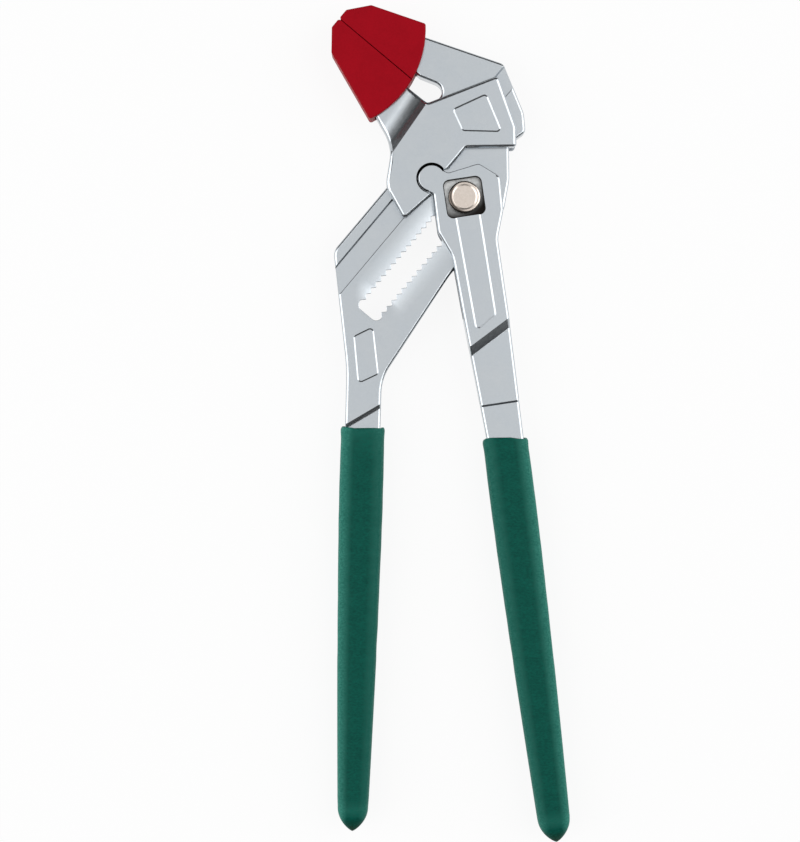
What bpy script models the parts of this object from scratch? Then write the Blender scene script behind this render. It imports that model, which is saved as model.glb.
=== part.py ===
"""Pliers wrench: smooth parallel jaws, a push-button sliding pivot, dipped grips and slip-on jaw covers.

The tool lies on its back. +Z points up out of its front face and +Y points to the jaws.
The origin is on the pivot axis, in the plane of the rear faces.
"""
import math

import bmesh
import bpy
from mathutils import Matrix, Vector

# Directions, in degrees from the tool's own axes
SLIDE_ANGLE = 50.0
LEVER_TILT = 8.5
HANDLE_TILT = -1.5
LEVER_GRIP_TILT = -1.2

# Clearances
FIT_GAP = 0.0003
RUN_GAP = 0.0003
LOCK_GAP = 0.0003

# Thickness of the forgings, across the head
ARM_THICKNESS = 0.0080
CHEEK_THICKNESS = 0.0029
SHANK_THICKNESS = 0.0100
TANG_THICKNESS = 0.0068
ARM_EDGE = 0.0004
CHEEK_EDGE = 0.0007
LEVER_EDGE = 0.0010
SMALL_FILLET = 0.0008
EDGE_FILLET = 0.0010
HANDLE_SWEEP = 0.0600
PANEL_FILLET = 0.0007

# Arm and its guide groove, measured from the slot's centre line
ARM_LOWER = 0.0115
GROOVE_OFFSET = 0.01005
GROOVE_WIDTH = 0.0059
GROOVE_DEPTH = 0.0012
RAIL_WIDTH = 0.00385
ARM_REACH = 0.0373
ARM_END_FILLET = 0.0045
FLANK_BEND = 0.0204
FLANK_SWEEP = 0.0300

# Toothed slot
TOOTH_PITCH = 0.00234
TOOTH_DEPTH = 0.00115
SLOT_WIDTH = 0.0082
SLOT_RELIEF = 0.00025
TOOTHED_LEDGE = 0.0012
ADJUST_STEPS = 16
SPARE_TEETH = 4
SLOT_RUN_OUT = 0.0014
DISH_DEPTH = 0.0006
DISH_LENGTH = 0.0640
DISH_WIDTH = 0.0190
DISH_FLATNESS = 40

# Jaws, in the slide frame: reach runs across the travel, the faces stand square to it
JAW_REACH = 0.0585
FIXED_FACE = 0.0194
BARE_GAP = 0.0048
FIXED_TIP_WIDTH = 0.0029
SLIDING_TIP_WIDTH = 0.0047
NECK_REACH = 0.0250
NECK_SHOULDER = 0.0120
THROAT_RELIEF = 0.0017
THROAT_WIDTH = 0.0085
THROAT_SLOPE = 0.0052
THROAT_FILLET = 0.0026
BACK_CORNER = (0.0384, 0.0168)
BACK_FILLET = 0.0022
BACK_BULGE = (0.0310, 0.0026)
BULGE_SWEEP = 0.0080
HEEL = (0.0270, -0.0014)
HEEL_FILLET = 0.0020
HEEL_NOTCH = (0.0210, 0.0001)
NECK_SIDE = (0.0129, -0.0069)
NECK_SWEEP = 0.0120
NECK_FOOT = 0.0080
NECK_FOOT_SWEEP = 0.0050

# Sliding jaw's cheeks, in the slide frame
CHEEK_LOWER = 0.00905
CHEEK_STEP = 0.0117
FOOT = (-0.0167, 0.0095)
FOOT_FILLET = 0.0012
HIP = (-0.0126, 0.0202)
HIP_SWEEP = 0.0070
WAIST = (-0.0018, 0.0266)
WAIST_SWEEP = 0.0140
TIP_FILLET = 0.0025
FLAG_CORNER = (0.0215, -0.0023)
FLAG_SIDE = (0.0260, 0.0016)
FLAG_SWEEP = 0.0040
FLAG_TOP = (0.0343, 0.0157)
FLAG_FILLET = 0.0012
NOTCH_GAP = 0.0004
NOTCH_START = 190.0
NOTCH_END = -12.0
NOTCH_LIP = 0.0012
LIP_DROP = 0.0012
JAW_STEP_REACH = 0.0262
JAW_STEP_ANGLE = 4.5
CHEEK_PANEL = ((0.0178, 0.0197), (0.0147, 0.0131), (0.0222, 0.0037), (0.0280, 0.0149))

# Lever, in its own frame: it hangs along -Y from the pivot
NOSE = (-0.0088, 0.0071)
NOSE_RADIUS = 0.0039
LEVER_CROWN = (0.0057, 0.0093)
LEVER_NECK = (-0.0036, 0.0079)
LEVER_SHOULDER = (0.0115, 0.0045)
LEVER_HIP = (0.0110, -0.0055)
LEVER_WAIST = (0.0081, -0.0136)
LEVER_LEFT = (-0.0093, -0.0093)
LEVER_TUCK = (-0.0061, -0.0172)
LEVER_INNER = (-0.0057, -0.0310)
LEVER_OUTER = (0.0080, -0.0380)
NOSE_START = 27.0
NOSE_END = 250.0
NOSE_ROOT = (-0.0091, 0.0020)
HEAD_FILLET = 0.0015
NECK_FILLET = 0.0012
HIP_FILLET = 0.0040
LEFT_SWEEP = 0.0050
WAIST_FILLET = 0.0080
TUCK_SWEEP = 0.0100
CROTCH = 0.0232
STEP_PLACE = (0.0018, -0.0408)
STEP_ANGLE = 28.4
TANG_STEP = 0.0108
LEVER_PANEL = ((-0.0036, -0.0046), (-0.0025, -0.0403), (0.0043, -0.0361), (0.0040, -0.0046))
WINDOW_WIDTH = 0.0112
WINDOW_DEPTH = 0.0020
WINDOW_CORNER = 0.0020
PANEL_DEPTH = 0.0005

# Handles under the grips: place of the grip's mouth, widths there and at the tang's end
HANDLE_OFFSET = (0.00875, -0.05306)
HANDLE_WIDTH = 0.0106
HANDLE_END_WIDTH = 0.0065
HANDLE_BEND = 0.0178
HANDLE_CROOK = 0.0149
CROOK_SWEEP = 0.0150
HANDLE_STEP = 0.0042
HANDLE_STEP_ANGLE = 32.0
HANDLE_STEP_RUN = 0.0012
HANDLE_PANEL = ((-0.0035, 0.0275), (-0.0018, 0.0131), (0.0044, 0.0162), (0.0024, 0.0306))
LEVER_MOUTH = (0.0016, -0.0730)
LEVER_WIDTH = 0.0110
LEVER_END_WIDTH = 0.0070
TANG_LENGTH = 0.1120
LEVER_TANG_EXTRA = 0.0012
TANG_TAPER = 3
GRIP_WALL = 0.0012
GRIP_TIP = 0.0060
GRIP_SHOULDER = 0.0020
GRIP_SWELL = 0.0005
GRIP_LIP = 0.0006
SECTION_POWER = 4

# Pivot and its push-button lock
BUTTON_RADIUS = 0.0048
BUTTON_THICKNESS = 0.0014
TRAVEL_SPARE = 0.0004
BUTTON_ROUND = 0.0005
SOCKET_DEPTH = 0.0008
LOCK_TEETH = 4
LOCK_TOOTH_DEPTH = 0.0006
LOCK_HEIGHT = 0.0022
FLANGE_RADIUS = 0.0062
FLANGE_HEIGHT = 0.0014
JOURNAL_RADIUS = 0.0050
SHAFT_RADIUS = 0.00125
RING_RADIUS = 0.00175
RING_WIDTH = 0.00075
RING_HEIGHT = 0.0004
RING_SEAT = 0.0007
RING_GAP = 25.0
SPRING_WIRE = 0.0006
SPRING_TURNS = 4

# Slip-on covers
COVER_FACE_WALL = 0.00195
COVER_BACK_WALL = 0.0017
COVER_HEEL_WALL = 0.0033
COVER_SIDE_WALL = 0.0017
COVER_TIP_WALL = 0.0043
COVER_ROOT_RADIUS = 0.0305
COVER_ROOT_CENTRE = 0.0647
COVER_ROOT_SHIFT = 0.0052
COVER_BEVEL = (0.0059, 0.0048)
COVER_FILLET = 0.0006
COVER_NOTCH = 0.0005
COVER_EDGE = 0.0006

# Fineness of round stretches
ARC_STEP = 10.0
ROUND_SIDES = 32
BAND_STEPS = 5
GRIP_SIDES = 24
GRIP_RINGS = 8
TIP_RINGS = 6
SPRING_SIDES = 10
DISH_DIVISIONS = 5
SMOOTH_ANGLE = 30.0

# Values that follow from the sizes above
HALF_ARM = ARM_THICKNESS / 2
LEVER_TANG = TANG_LENGTH + LEVER_TANG_EXTRA
INNER_FACE = HALF_ARM + RUN_GAP
OUTER_FACE = INNER_FACE + CHEEK_THICKNESS
RAIL_EDGE = GROOVE_OFFSET + GROOVE_WIDTH + RAIL_WIDTH
JAW_MIDDLE = FIXED_FACE - BARE_GAP / 2
SLIDING_FACE = FIXED_FACE - BARE_GAP
ROOT = SLOT_WIDTH / 2
CREST = ROOT - TOOTH_DEPTH
LEDGE_FLOOR = HALF_ARM - DISH_DEPTH - TOOTHED_LEDGE
SLOT_START = -(ADJUST_STEPS + SPARE_TEETH / 2 - 0.5) * TOOTH_PITCH
SLOT_END = SLOT_START + (ADJUST_STEPS + SPARE_TEETH) * TOOTH_PITCH
WINDOW_FLOOR = OUTER_FACE - WINDOW_DEPTH
STEM_RADIUS = CREST - RUN_GAP
BUTTON_TRAVEL = TOOTHED_LEDGE + TRAVEL_SPARE
BUTTON_LOW = WINDOW_FLOOR + BUTTON_TRAVEL + FIT_GAP / 2
JOURNAL_TOP = -(HALF_ARM + RUN_GAP / 2)
LOCK_TOP = HALF_ARM - DISH_DEPTH
LOCK_LOW = LOCK_TOP - LOCK_HEIGHT
BORE_RADIUS = SHAFT_RADIUS + RUN_GAP
RING_LOW = LOCK_TOP + RING_SEAT + FIT_GAP + RUN_GAP
FAR = 4 * JAW_REACH


def turn(degrees):
    """Plane rotation by an angle in degrees."""
    return Matrix.Rotation(math.radians(degrees), 2)


def shifted(points, degrees, origin):
    """Turn points about (0, 0), then move them to origin."""
    return [turn(degrees) @ Vector(point) + Vector(origin) for point in points]


def arc(centre, radius, start, end):
    """Points on a circle from one angle to another, in degrees."""
    steps = max(2, round(abs(end - start) / ARC_STEP))
    spread = [math.radians(start + (end - start) * step / steps) for step in range(steps + 1)]
    return [Vector((centre[0] + radius * math.cos(a), centre[1] + radius * math.sin(a))) for a in spread]


def rounded(corners):
    """Outline through (point, radius) corners, each rounded by an arc that touches both its sides."""
    outline = []
    for index, (point, radius) in enumerate(corners):
        here = Vector(point)
        back = Vector(corners[index - 1][0]) - here
        ahead = Vector(corners[(index + 1) % len(corners)][0]) - here
        half = back.angle(ahead) / 2
        sweep = math.pi - 2 * half
        if radius == 0 or sweep < math.radians(1):
            outline.append(here)
            continue
        centre = here + (back.normalized() + ahead.normalized()).normalized() * radius / math.sin(half)
        arm = here + back.normalized() * radius / math.tan(half) - centre
        side = math.copysign(1, ahead.cross(back))
        steps = max(2, round(math.degrees(sweep) / ARC_STEP))
        outline += [
            centre + Matrix.Rotation(side * sweep * step / steps, 2) @ arm for step in range(steps + 1)
        ]
    return outline


def plain(points):
    """Corners without rounding."""
    return [(point, 0) for point in points]


def prism(outline, low, high, edge=0.0, segments=2):
    """Upright slab of an outline between two heights, with its rims rounded by edge."""
    shape = bmesh.new()
    floor = shape.faces.new([shape.verts.new((x, y, low)) for x, y in outline])
    raised = bmesh.ops.extrude_face_region(shape, geom=[floor])["geom"]
    lifted = [item for item in raised if isinstance(item, bmesh.types.BMVert)]
    bmesh.ops.translate(shape, verts=lifted, vec=(0, 0, high - low))
    bmesh.ops.recalc_face_normals(shape, faces=shape.faces)
    if edge:
        rims = [rim for rim in shape.edges if abs(rim.verts[0].co.z - rim.verts[1].co.z) < edge]
        bmesh.ops.bevel(
            shape, geom=rims, offset=edge, segments=segments, profile=0.5, affect="EDGES",
            clamp_overlap=True, material=-1,
        )
    return shape


def revolved(profile):
    """Solid of revolution about Z of (radius, height) points that start and end on the axis."""
    shape = bmesh.new()
    line = [shape.verts.new((radius, 0, height)) for radius, height in profile]
    edges = [shape.edges.new(pair) for pair in zip(line, line[1:])]
    bmesh.ops.spin(
        shape, geom=line + edges, cent=(0, 0, 0), axis=(0, 0, 1), angle=math.tau,
        steps=ROUND_SIDES, use_merge=True,
    )
    bmesh.ops.remove_doubles(shape, verts=shape.verts, dist=SHAFT_RADIUS / 1000)
    bmesh.ops.recalc_face_normals(shape, faces=shape.faces)
    return shape


def disc(radius, low, high):
    """Plain cylinder on the pivot axis."""
    return revolved([(0, low), (radius, low), (radius, high), (0, high)])


def ramp(place, degrees, top, bottom, run):
    """Cutter that lowers a face from top to bottom past a line, through a hollow curve of length run."""
    drop = top - bottom
    hollow = [
        (run * (1 - math.cos(step * math.pi / 2 / BAND_STEPS)),
         top - drop * math.sin(step * math.pi / 2 / BAND_STEPS))
        for step in range(BAND_STEPS + 1)
    ]
    section = hollow + [(FAR, bottom), (FAR, top + drop), (0, top + drop)]
    shape = bmesh.new()
    face = shape.faces.new([shape.verts.new((-FAR, -along, height)) for along, height in section])
    raised = bmesh.ops.extrude_face_region(shape, geom=[face])["geom"]
    lifted = [item for item in raised if isinstance(item, bmesh.types.BMVert)]
    bmesh.ops.translate(shape, verts=lifted, vec=(2 * FAR, 0, 0))
    bmesh.ops.recalc_face_normals(shape, faces=shape.faces)
    placed = Matrix.Translation((*place, 0)) @ Matrix.Rotation(math.radians(degrees), 4, "Z")
    bmesh.ops.transform(shape, matrix=placed, verts=shape.verts)
    return shape


def flipped(shape):
    """Mirror a shape to the other side of the mid-plane."""
    bmesh.ops.scale(shape, vec=(1, 1, -1), verts=shape.verts)
    bmesh.ops.reverse_faces(shape, faces=shape.faces)
    return shape


def both_sides(maker, *sizes):
    """The same cutter on the front and on the rear."""
    return [maker(*sizes), flipped(maker(*sizes))]


def material(name, colour, metallic, roughness):
    """Principled surface of one finish."""
    finish = bpy.data.materials.get(name) or bpy.data.materials.new(name)
    finish.use_nodes = True
    shader = finish.node_tree.nodes["Principled BSDF"]
    shader.inputs["Base Color"].default_value = (*colour, 1)
    shader.inputs["Metallic"].default_value = metallic
    shader.inputs["Roughness"].default_value = roughness
    return finish


def satin_steel():
    """Satin nickel-chrome plated forging."""
    return material("satin_plated_steel", (0.52, 0.55, 0.58), 1.0, 0.35)


def bright_nickel():
    """Polished nickel of the button and the lock."""
    return material("bright_nickel", (0.67, 0.61, 0.56), 1.0, 0.22)


def spring_wire():
    """Drawn spring steel."""
    return material("spring_steel", (0.30, 0.30, 0.31), 1.0, 0.40)


def dipped_vinyl():
    """Green dipped grip."""
    return material("dipped_vinyl", (0.008, 0.085, 0.064), 0.0, 0.45)


def cover_plastic():
    """Red moulded cover."""
    return material("red_soft_plastic", (0.31, 0.006, 0.014), 0.0, 0.40)


def frame(name, degrees, place=(0, 0), parent=None):
    """Empty that carries a group of pieces, turned about Z in the tool's mid-plane."""
    empty = bpy.data.objects.new(name, None)
    bpy.context.collection.objects.link(empty)
    empty.location = (*place, 0 if parent else OUTER_FACE)
    empty.rotation_euler.z = math.radians(degrees)
    empty.parent = parent
    return empty


def add(name, shape, finish, parent):
    """Turn a shape into a named piece."""
    mesh = bpy.data.meshes.new(name)
    shape.to_mesh(mesh)
    shape.free()
    mesh.shade_smooth()
    mesh.set_sharp_from_angle(angle=math.radians(SMOOTH_ANGLE))
    piece = bpy.data.objects.new(name, mesh)
    bpy.context.collection.objects.link(piece)
    piece.parent = parent
    if finish:
        mesh.materials.append(finish)
    return piece


def combine(piece, shapes, operation="DIFFERENCE"):
    """Cut shapes out of a piece, or join them to it, in the piece's own frame."""
    for number, shape in enumerate(shapes):
        guide = add(f"{piece.name}_{operation.lower()}_{number}", shape, None, piece.parent)
        guide.hide_render = True
        guide.display_type = "WIRE"
        step = piece.modifiers.new(guide.name, "BOOLEAN")
        step.operation = operation
        step.solver = "EXACT"
        step.object = guide


def tang(width, end_width, length, grow=0.0):
    """Corners of a handle's tapered end below the grip's mouth, grown all round, from left to right."""
    half = width / 2 + grow
    end = end_width / 2 + grow
    return [(-half, 0), (-end, -length - grow), (end, -length - grow), (half, 0)]


def slot_outline():
    """Round-ended slot with V teeth along both sides."""
    count = ADJUST_STEPS + SPARE_TEETH
    lower = []
    for tooth in range(count):
        start = SLOT_START + tooth * TOOTH_PITCH
        lower += [Vector((start, -ROOT)), Vector((start + TOOTH_PITCH / 2, -CREST))]
    upper = [Vector((point.x, -point.y)) for point in reversed(lower)]
    right = arc((SLOT_END, 0), ROOT, -90, 90)
    left = arc((SLOT_START - SLOT_RUN_OUT, 0), ROOT, 90, 270)
    return lower + right + upper[:-1] + left[:-1]


def relief_outline():
    """Plain slot behind the toothed ledge."""
    half = ROOT + SLOT_RELIEF
    return arc((SLOT_END, 0), half, -90, 90) + arc((SLOT_START - SLOT_RUN_OUT, 0), half, 90, 270)


def dish():
    """Shallow bowl around the slot on the front face."""
    shape = bmesh.new()
    depth = DISH_DEPTH * DISH_FLATNESS
    spread = 1 / math.sqrt(1 - (1 - 1 / DISH_FLATNESS) ** 2)
    middle = (SLOT_START - SLOT_RUN_OUT + SLOT_END) / 2
    size = Matrix.Diagonal((DISH_LENGTH / 2 * spread, DISH_WIDTH / 2 * spread, depth, 1))
    place = Matrix.Translation((middle, 0, HALF_ARM - DISH_DEPTH + depth))
    bmesh.ops.create_icosphere(shape, subdivisions=DISH_DIVISIONS, radius=1, matrix=place @ size)
    return shape


def handle_mouth():
    """Middle of the fixed handle's grip mouth, placed from the arm's end corner."""
    return turn(SLIDE_ANGLE) @ Vector((-ARM_REACH, RAIL_EDGE)) + Vector(HANDLE_OFFSET)


def handle_point(point):
    """A point of the fixed handle's frame, in the slide frame."""
    return turn(-SLIDE_ANGLE) @ (turn(HANDLE_TILT) @ Vector(point) + handle_mouth())


def fixed_handle(slide):
    """Forging of the fixed jaw, slotted arm and left handle."""
    half = HANDLE_WIDTH / 2
    tang_corners = [handle_point(point) for point in tang(HANDLE_WIDTH, HANDLE_END_WIDTH, TANG_LENGTH)]
    end_round = HANDLE_END_WIDTH / TANG_TAPER
    throat = NECK_REACH + THROAT_WIDTH
    corners = [
        ((FIXED_FACE, JAW_REACH), SMALL_FILLET),
        ((FIXED_FACE, throat), EDGE_FILLET),
        ((FIXED_FACE + THROAT_RELIEF, throat - THROAT_SLOPE), THROAT_FILLET),
        ((FIXED_FACE + THROAT_RELIEF, NECK_REACH), THROAT_FILLET),
        ((NECK_SHOULDER, NECK_REACH), EDGE_FILLET),
        ((NECK_SHOULDER, RAIL_EDGE), EDGE_FILLET),
        ((-ARM_REACH, RAIL_EDGE), ARM_END_FILLET),
        (handle_point((-half, HANDLE_BEND)), HANDLE_SWEEP),
        (tang_corners[0], 0),
        (tang_corners[1], end_round),
        (tang_corners[2], end_round),
        (tang_corners[3], 0),
        (handle_point((half, HANDLE_CROOK)), CROOK_SWEEP),
        ((-FLANK_BEND, -ARM_LOWER), FLANK_SWEEP),
        ((NECK_SIDE[0] - NECK_FOOT, -ARM_LOWER), NECK_FOOT_SWEEP),
        (NECK_SIDE, NECK_SWEEP),
        (HEEL_NOTCH, SMALL_FILLET),
        (HEEL, HEEL_FILLET),
        (BACK_BULGE, BULGE_SWEEP),
        (BACK_CORNER, BACK_FILLET),
        ((FIXED_FACE + FIXED_TIP_WIDTH, JAW_REACH), EDGE_FILLET),
    ]
    piece = add(
        "fixed_handle", prism(rounded(corners), -HALF_ARM, HALF_ARM, ARM_EDGE), satin_steel(), slide
    )
    groove = [(-FAR, GROOVE_OFFSET), (FAR, GROOVE_OFFSET),
              (FAR, GROOVE_OFFSET + GROOVE_WIDTH), (-FAR, GROOVE_OFFSET + GROOVE_WIDTH)]
    step_place = handle_point((0, HANDLE_STEP))
    step_angle = HANDLE_TILT - SLIDE_ANGLE + HANDLE_STEP_ANGLE
    panel = rounded([(handle_point(point), PANEL_FILLET) for point in HANDLE_PANEL])
    cutters = both_sides(prism, groove, HALF_ARM - GROOVE_DEPTH, ARM_THICKNESS)
    cutters += both_sides(ramp, step_place, step_angle, HALF_ARM, TANG_THICKNESS / 2, HANDLE_STEP_RUN)
    cutters += [dish(), prism(panel, HALF_ARM - PANEL_DEPTH, ARM_THICKNESS)]
    cutters.append(prism(slot_outline(), LEDGE_FLOOR - SLOT_RELIEF, ARM_THICKNESS))
    cutters.append(prism(relief_outline(), -ARM_THICKNESS, LEDGE_FLOOR))
    combine(piece, cutters)


def cheek_outline():
    """Outline of the sliding jaw and its cheeks, with the notch that takes the lever's nose."""
    nose = turn(LEVER_TILT - SLIDE_ANGLE) @ Vector(NOSE)
    notch = NOSE_RADIUS + NOTCH_GAP
    lip = nose.x - notch + NOTCH_GAP
    corners = [
        (FOOT, FOOT_FILLET),
        ((lip, CHEEK_LOWER - LIP_DROP), SMALL_FILLET),
        *plain(arc(nose, notch, NOTCH_START, NOTCH_END)),
        ((nose.x + notch + NOTCH_LIP, CHEEK_LOWER), SMALL_FILLET),
        ((CHEEK_STEP, CHEEK_LOWER), EDGE_FILLET),
        (FLAG_CORNER, SMALL_FILLET),
        (FLAG_SIDE, FLAG_SWEEP),
        (FLAG_TOP, FLAG_FILLET),
        ((SLIDING_FACE, JAW_STEP_REACH + RUN_GAP), EDGE_FILLET),
        ((SLIDING_FACE, JAW_REACH), SMALL_FILLET),
        ((SLIDING_FACE - SLIDING_TIP_WIDTH, JAW_REACH), TIP_FILLET),
        (WAIST, WAIST_SWEEP),
        (HIP, HIP_SWEEP),
    ]
    return rounded(corners)


def arm_section(gap):
    """Cross-section of the arm's edge, grooves and rail, grown by gap: pairs across the slot and up."""
    face = HALF_ARM + gap
    rib = face - GROOVE_DEPTH
    edge = RAIL_EDGE + gap
    low = GROOVE_OFFSET + gap
    high = GROOVE_OFFSET + GROOVE_WIDTH - gap
    front = [(-FAR, face), (low, face), (low, rib), (high, rib), (high, face), (edge, face)]
    return front + [(across, -up) for across, up in reversed(front)]


def arm_clearance():
    """Cutter that lets the arm through the sliding jaw and leaves the ribs that run in its grooves."""
    shape = bmesh.new()
    face = shape.faces.new([shape.verts.new((-FAR, across, up)) for across, up in arm_section(RUN_GAP)])
    raised = bmesh.ops.extrude_face_region(shape, geom=[face])["geom"]
    lifted = [item for item in raised if isinstance(item, bmesh.types.BMVert)]
    bmesh.ops.translate(shape, verts=lifted, vec=(2 * FAR, 0, 0))
    bmesh.ops.recalc_face_normals(shape, faces=shape.faces)
    return shape


def sliding_jaw(slide):
    """Forging of the sliding jaw with a cheek on each side of the arm."""
    piece = add(
        "sliding_jaw", prism(cheek_outline(), -OUTER_FACE, OUTER_FACE, CHEEK_EDGE), satin_steel(), slide
    )
    neck = [(NECK_SHOULDER - 2 * RUN_GAP, -FAR), (FAR, -FAR), (FAR, NECK_REACH + RUN_GAP),
            (NECK_SHOULDER - 2 * RUN_GAP, NECK_REACH + RUN_GAP)]
    step_place = (0, JAW_STEP_REACH)
    cutters = both_sides(
        ramp, step_place, 180 + JAW_STEP_ANGLE, OUTER_FACE, HALF_ARM, OUTER_FACE - HALF_ARM
    )
    panel = rounded([(point, PANEL_FILLET) for point in CHEEK_PANEL])
    cutters += both_sides(prism, panel, OUTER_FACE - PANEL_DEPTH, 2 * OUTER_FACE)
    cutters += [arm_clearance(), prism(neck, -INNER_FACE, INNER_FACE)]
    combine(piece, cutters)


def lever_outline():
    """Outline of the lever with its round nose and tapered tang."""
    tang_corners = shifted(tang(LEVER_WIDTH, LEVER_END_WIDTH, LEVER_TANG), LEVER_GRIP_TILT, LEVER_MOUTH)
    end_round = LEVER_END_WIDTH / TANG_TAPER
    corners = [
        *plain(arc(NOSE, NOSE_RADIUS, NOSE_START, NOSE_END)),
        (NOSE_ROOT, SMALL_FILLET),
        (LEVER_LEFT, LEFT_SWEEP),
        (LEVER_TUCK, TUCK_SWEEP),
        (LEVER_INNER, HANDLE_SWEEP),
        (tang_corners[0], 0),
        (tang_corners[1], end_round),
        (tang_corners[2], end_round),
        (tang_corners[3], 0),
        (LEVER_OUTER, HANDLE_SWEEP),
        (LEVER_WAIST, WAIST_FILLET),
        (LEVER_HIP, HIP_FILLET),
        (LEVER_SHOULDER, HEAD_FILLET),
        (LEVER_CROWN, HEAD_FILLET),
        (LEVER_NECK, NECK_FILLET),
    ]
    return rounded(corners)


def lever_handle(lever):
    """Forging of the forked lever, with the button window in its front cheek."""
    piece = add(
        "lever_handle", prism(lever_outline(), -OUTER_FACE, OUTER_FACE, LEVER_EDGE), satin_steel(), lever
    )
    fork = shifted(
        [(-FAR, -CROTCH), (FAR, -CROTCH), (FAR, FAR), (-FAR, FAR)], SLIDE_ANGLE - LEVER_TILT, (0, 0)
    )
    half = WINDOW_WIDTH / 2
    window = rounded([((x, y), WINDOW_CORNER) for x, y in
                      ((-half, -half), (half, -half), (half, half), (-half, half))])
    tang_place = Vector(LEVER_MOUTH) + Vector((0, TANG_STEP))
    panel = rounded([(point, PANEL_FILLET) for point in LEVER_PANEL])
    shank = SHANK_THICKNESS / 2
    cutters = both_sides(ramp, STEP_PLACE, STEP_ANGLE, OUTER_FACE, shank, OUTER_FACE - shank)
    cutters += both_sides(ramp, tang_place, 0, shank, TANG_THICKNESS / 2, shank - TANG_THICKNESS / 2)
    cutters += both_sides(prism, panel, OUTER_FACE - PANEL_DEPTH, 2 * OUTER_FACE)
    cutters += [
        prism(fork, -INNER_FACE, INNER_FACE),
        prism(window, WINDOW_FLOOR, 2 * OUTER_FACE),
        disc(STEM_RADIUS + RUN_GAP, 0, 2 * OUTER_FACE),
        disc(JOURNAL_RADIUS + RUN_GAP, -2 * OUTER_FACE, 0),
        disc(FLANGE_RADIUS + RUN_GAP, -2 * OUTER_FACE, FLANGE_HEIGHT + FIT_GAP - OUTER_FACE),
    ]
    combine(piece, cutters)


def pivot_bolt(slide):
    """Flanged rear journal with the slim shaft that the lock slides on."""
    flange = FLANGE_HEIGHT - OUTER_FACE
    ring_top = RING_LOW + RING_HEIGHT
    groove = RING_RADIUS - RING_WIDTH - FIT_GAP
    profile = [
        (0, -OUTER_FACE), (FLANGE_RADIUS, -OUTER_FACE), (FLANGE_RADIUS, flange), (JOURNAL_RADIUS, flange),
        (JOURNAL_RADIUS, JOURNAL_TOP), (SHAFT_RADIUS, JOURNAL_TOP), (SHAFT_RADIUS, RING_LOW - FIT_GAP),
        (groove, RING_LOW - FIT_GAP), (groove, ring_top + FIT_GAP), (SHAFT_RADIUS, ring_top + FIT_GAP),
        (SHAFT_RADIUS, ring_top + 2 * FIT_GAP), (0, ring_top + 2 * FIT_GAP),
    ]
    add("pivot_bolt", revolved(profile), bright_nickel(), slide)


def lock_plunger(slide):
    """Toothed block in the slot, with the hollow stem that carries the button."""
    tip = CREST - LOCK_GAP
    root = tip - LOCK_TOOTH_DEPTH
    start = -LOCK_TEETH / 2 * TOOTH_PITCH
    lower = [Vector((start, -root))]
    for tooth in range(LOCK_TEETH):
        valley = start + tooth * TOOTH_PITCH
        lower += [Vector((valley + TOOTH_PITCH / 2, -tip)), Vector((valley + TOOTH_PITCH, -root))]
    outline = lower + [Vector((point.x, -point.y)) for point in reversed(lower)]
    piece = add("lock_plunger", prism(outline, LOCK_LOW, LOCK_TOP), bright_nickel(), slide)
    stem_top = BUTTON_LOW + SOCKET_DEPTH - FIT_GAP
    combine(piece, [disc(STEM_RADIUS, LOCK_LOW + LOCK_HEIGHT / 2, stem_top)], "UNION")
    counterbore = disc(RING_RADIUS + RUN_GAP, RING_LOW - FIT_GAP, 2 * OUTER_FACE)
    combine(piece, [disc(BORE_RADIUS, -OUTER_FACE, 2 * OUTER_FACE), counterbore])


def push_button(slide):
    """Round button cap on the plunger's stem."""
    top = BUTTON_LOW + BUTTON_THICKNESS
    socket = STEM_RADIUS + FIT_GAP
    rim = arc((BUTTON_RADIUS - BUTTON_ROUND, top - BUTTON_ROUND), BUTTON_ROUND, 0, 90)
    profile = [
        (0, BUTTON_LOW + SOCKET_DEPTH), (socket, BUTTON_LOW + SOCKET_DEPTH), (socket, BUTTON_LOW),
        (BUTTON_RADIUS, BUTTON_LOW), *rim, (0, top),
    ]
    add("push_button", revolved(profile), bright_nickel(), slide)


def return_spring(slide):
    """Coil between the journal and the plunger; prints the least gap between its turns."""
    low = JOURNAL_TOP + FIT_GAP + SPRING_WIRE / 2
    high = LOCK_LOW - FIT_GAP - SPRING_WIRE / 2
    radius = (SHAFT_RADIUS + RUN_GAP + STEM_RADIUS) / 2
    count = SPRING_TURNS * SPRING_SIDES
    points = [
        Vector((
            radius * math.cos(math.tau * step / SPRING_SIDES),
            radius * math.sin(math.tau * step / SPRING_SIDES),
            low + (high - low) * step / count,
        ))
        for step in range(count + 1)
    ]
    least = min((a - b).length for i, a in enumerate(points) for b in points[i + SPRING_SIDES - 1:])
    print(f"return_spring: least gap between turns {1000 * (least - SPRING_WIRE):.2f} mm")
    coil = bpy.data.curves.new("return_spring", "CURVE")
    coil.dimensions = "3D"
    coil.bevel_depth = SPRING_WIRE / 2
    coil.bevel_resolution = 1
    coil.use_fill_caps = True
    spline = coil.splines.new("POLY")
    spline.points.add(count)
    for knot, point in zip(spline.points, points):
        knot.co = (*point, 1)
    coil.materials.append(spring_wire())
    piece = bpy.data.objects.new("return_spring", coil)
    bpy.context.collection.objects.link(piece)
    piece.parent = slide


def retaining_ring(slide):
    """Open snap ring in the groove near the shaft's end."""
    inner = RING_RADIUS - RING_WIDTH
    end = 360 - RING_GAP
    outline = arc((0, 0), RING_RADIUS, RING_GAP, end) + arc((0, 0), inner, end, RING_GAP)
    add("retaining_ring", prism(outline, RING_LOW, RING_LOW + RING_HEIGHT), spring_wire(), slide)


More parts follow.
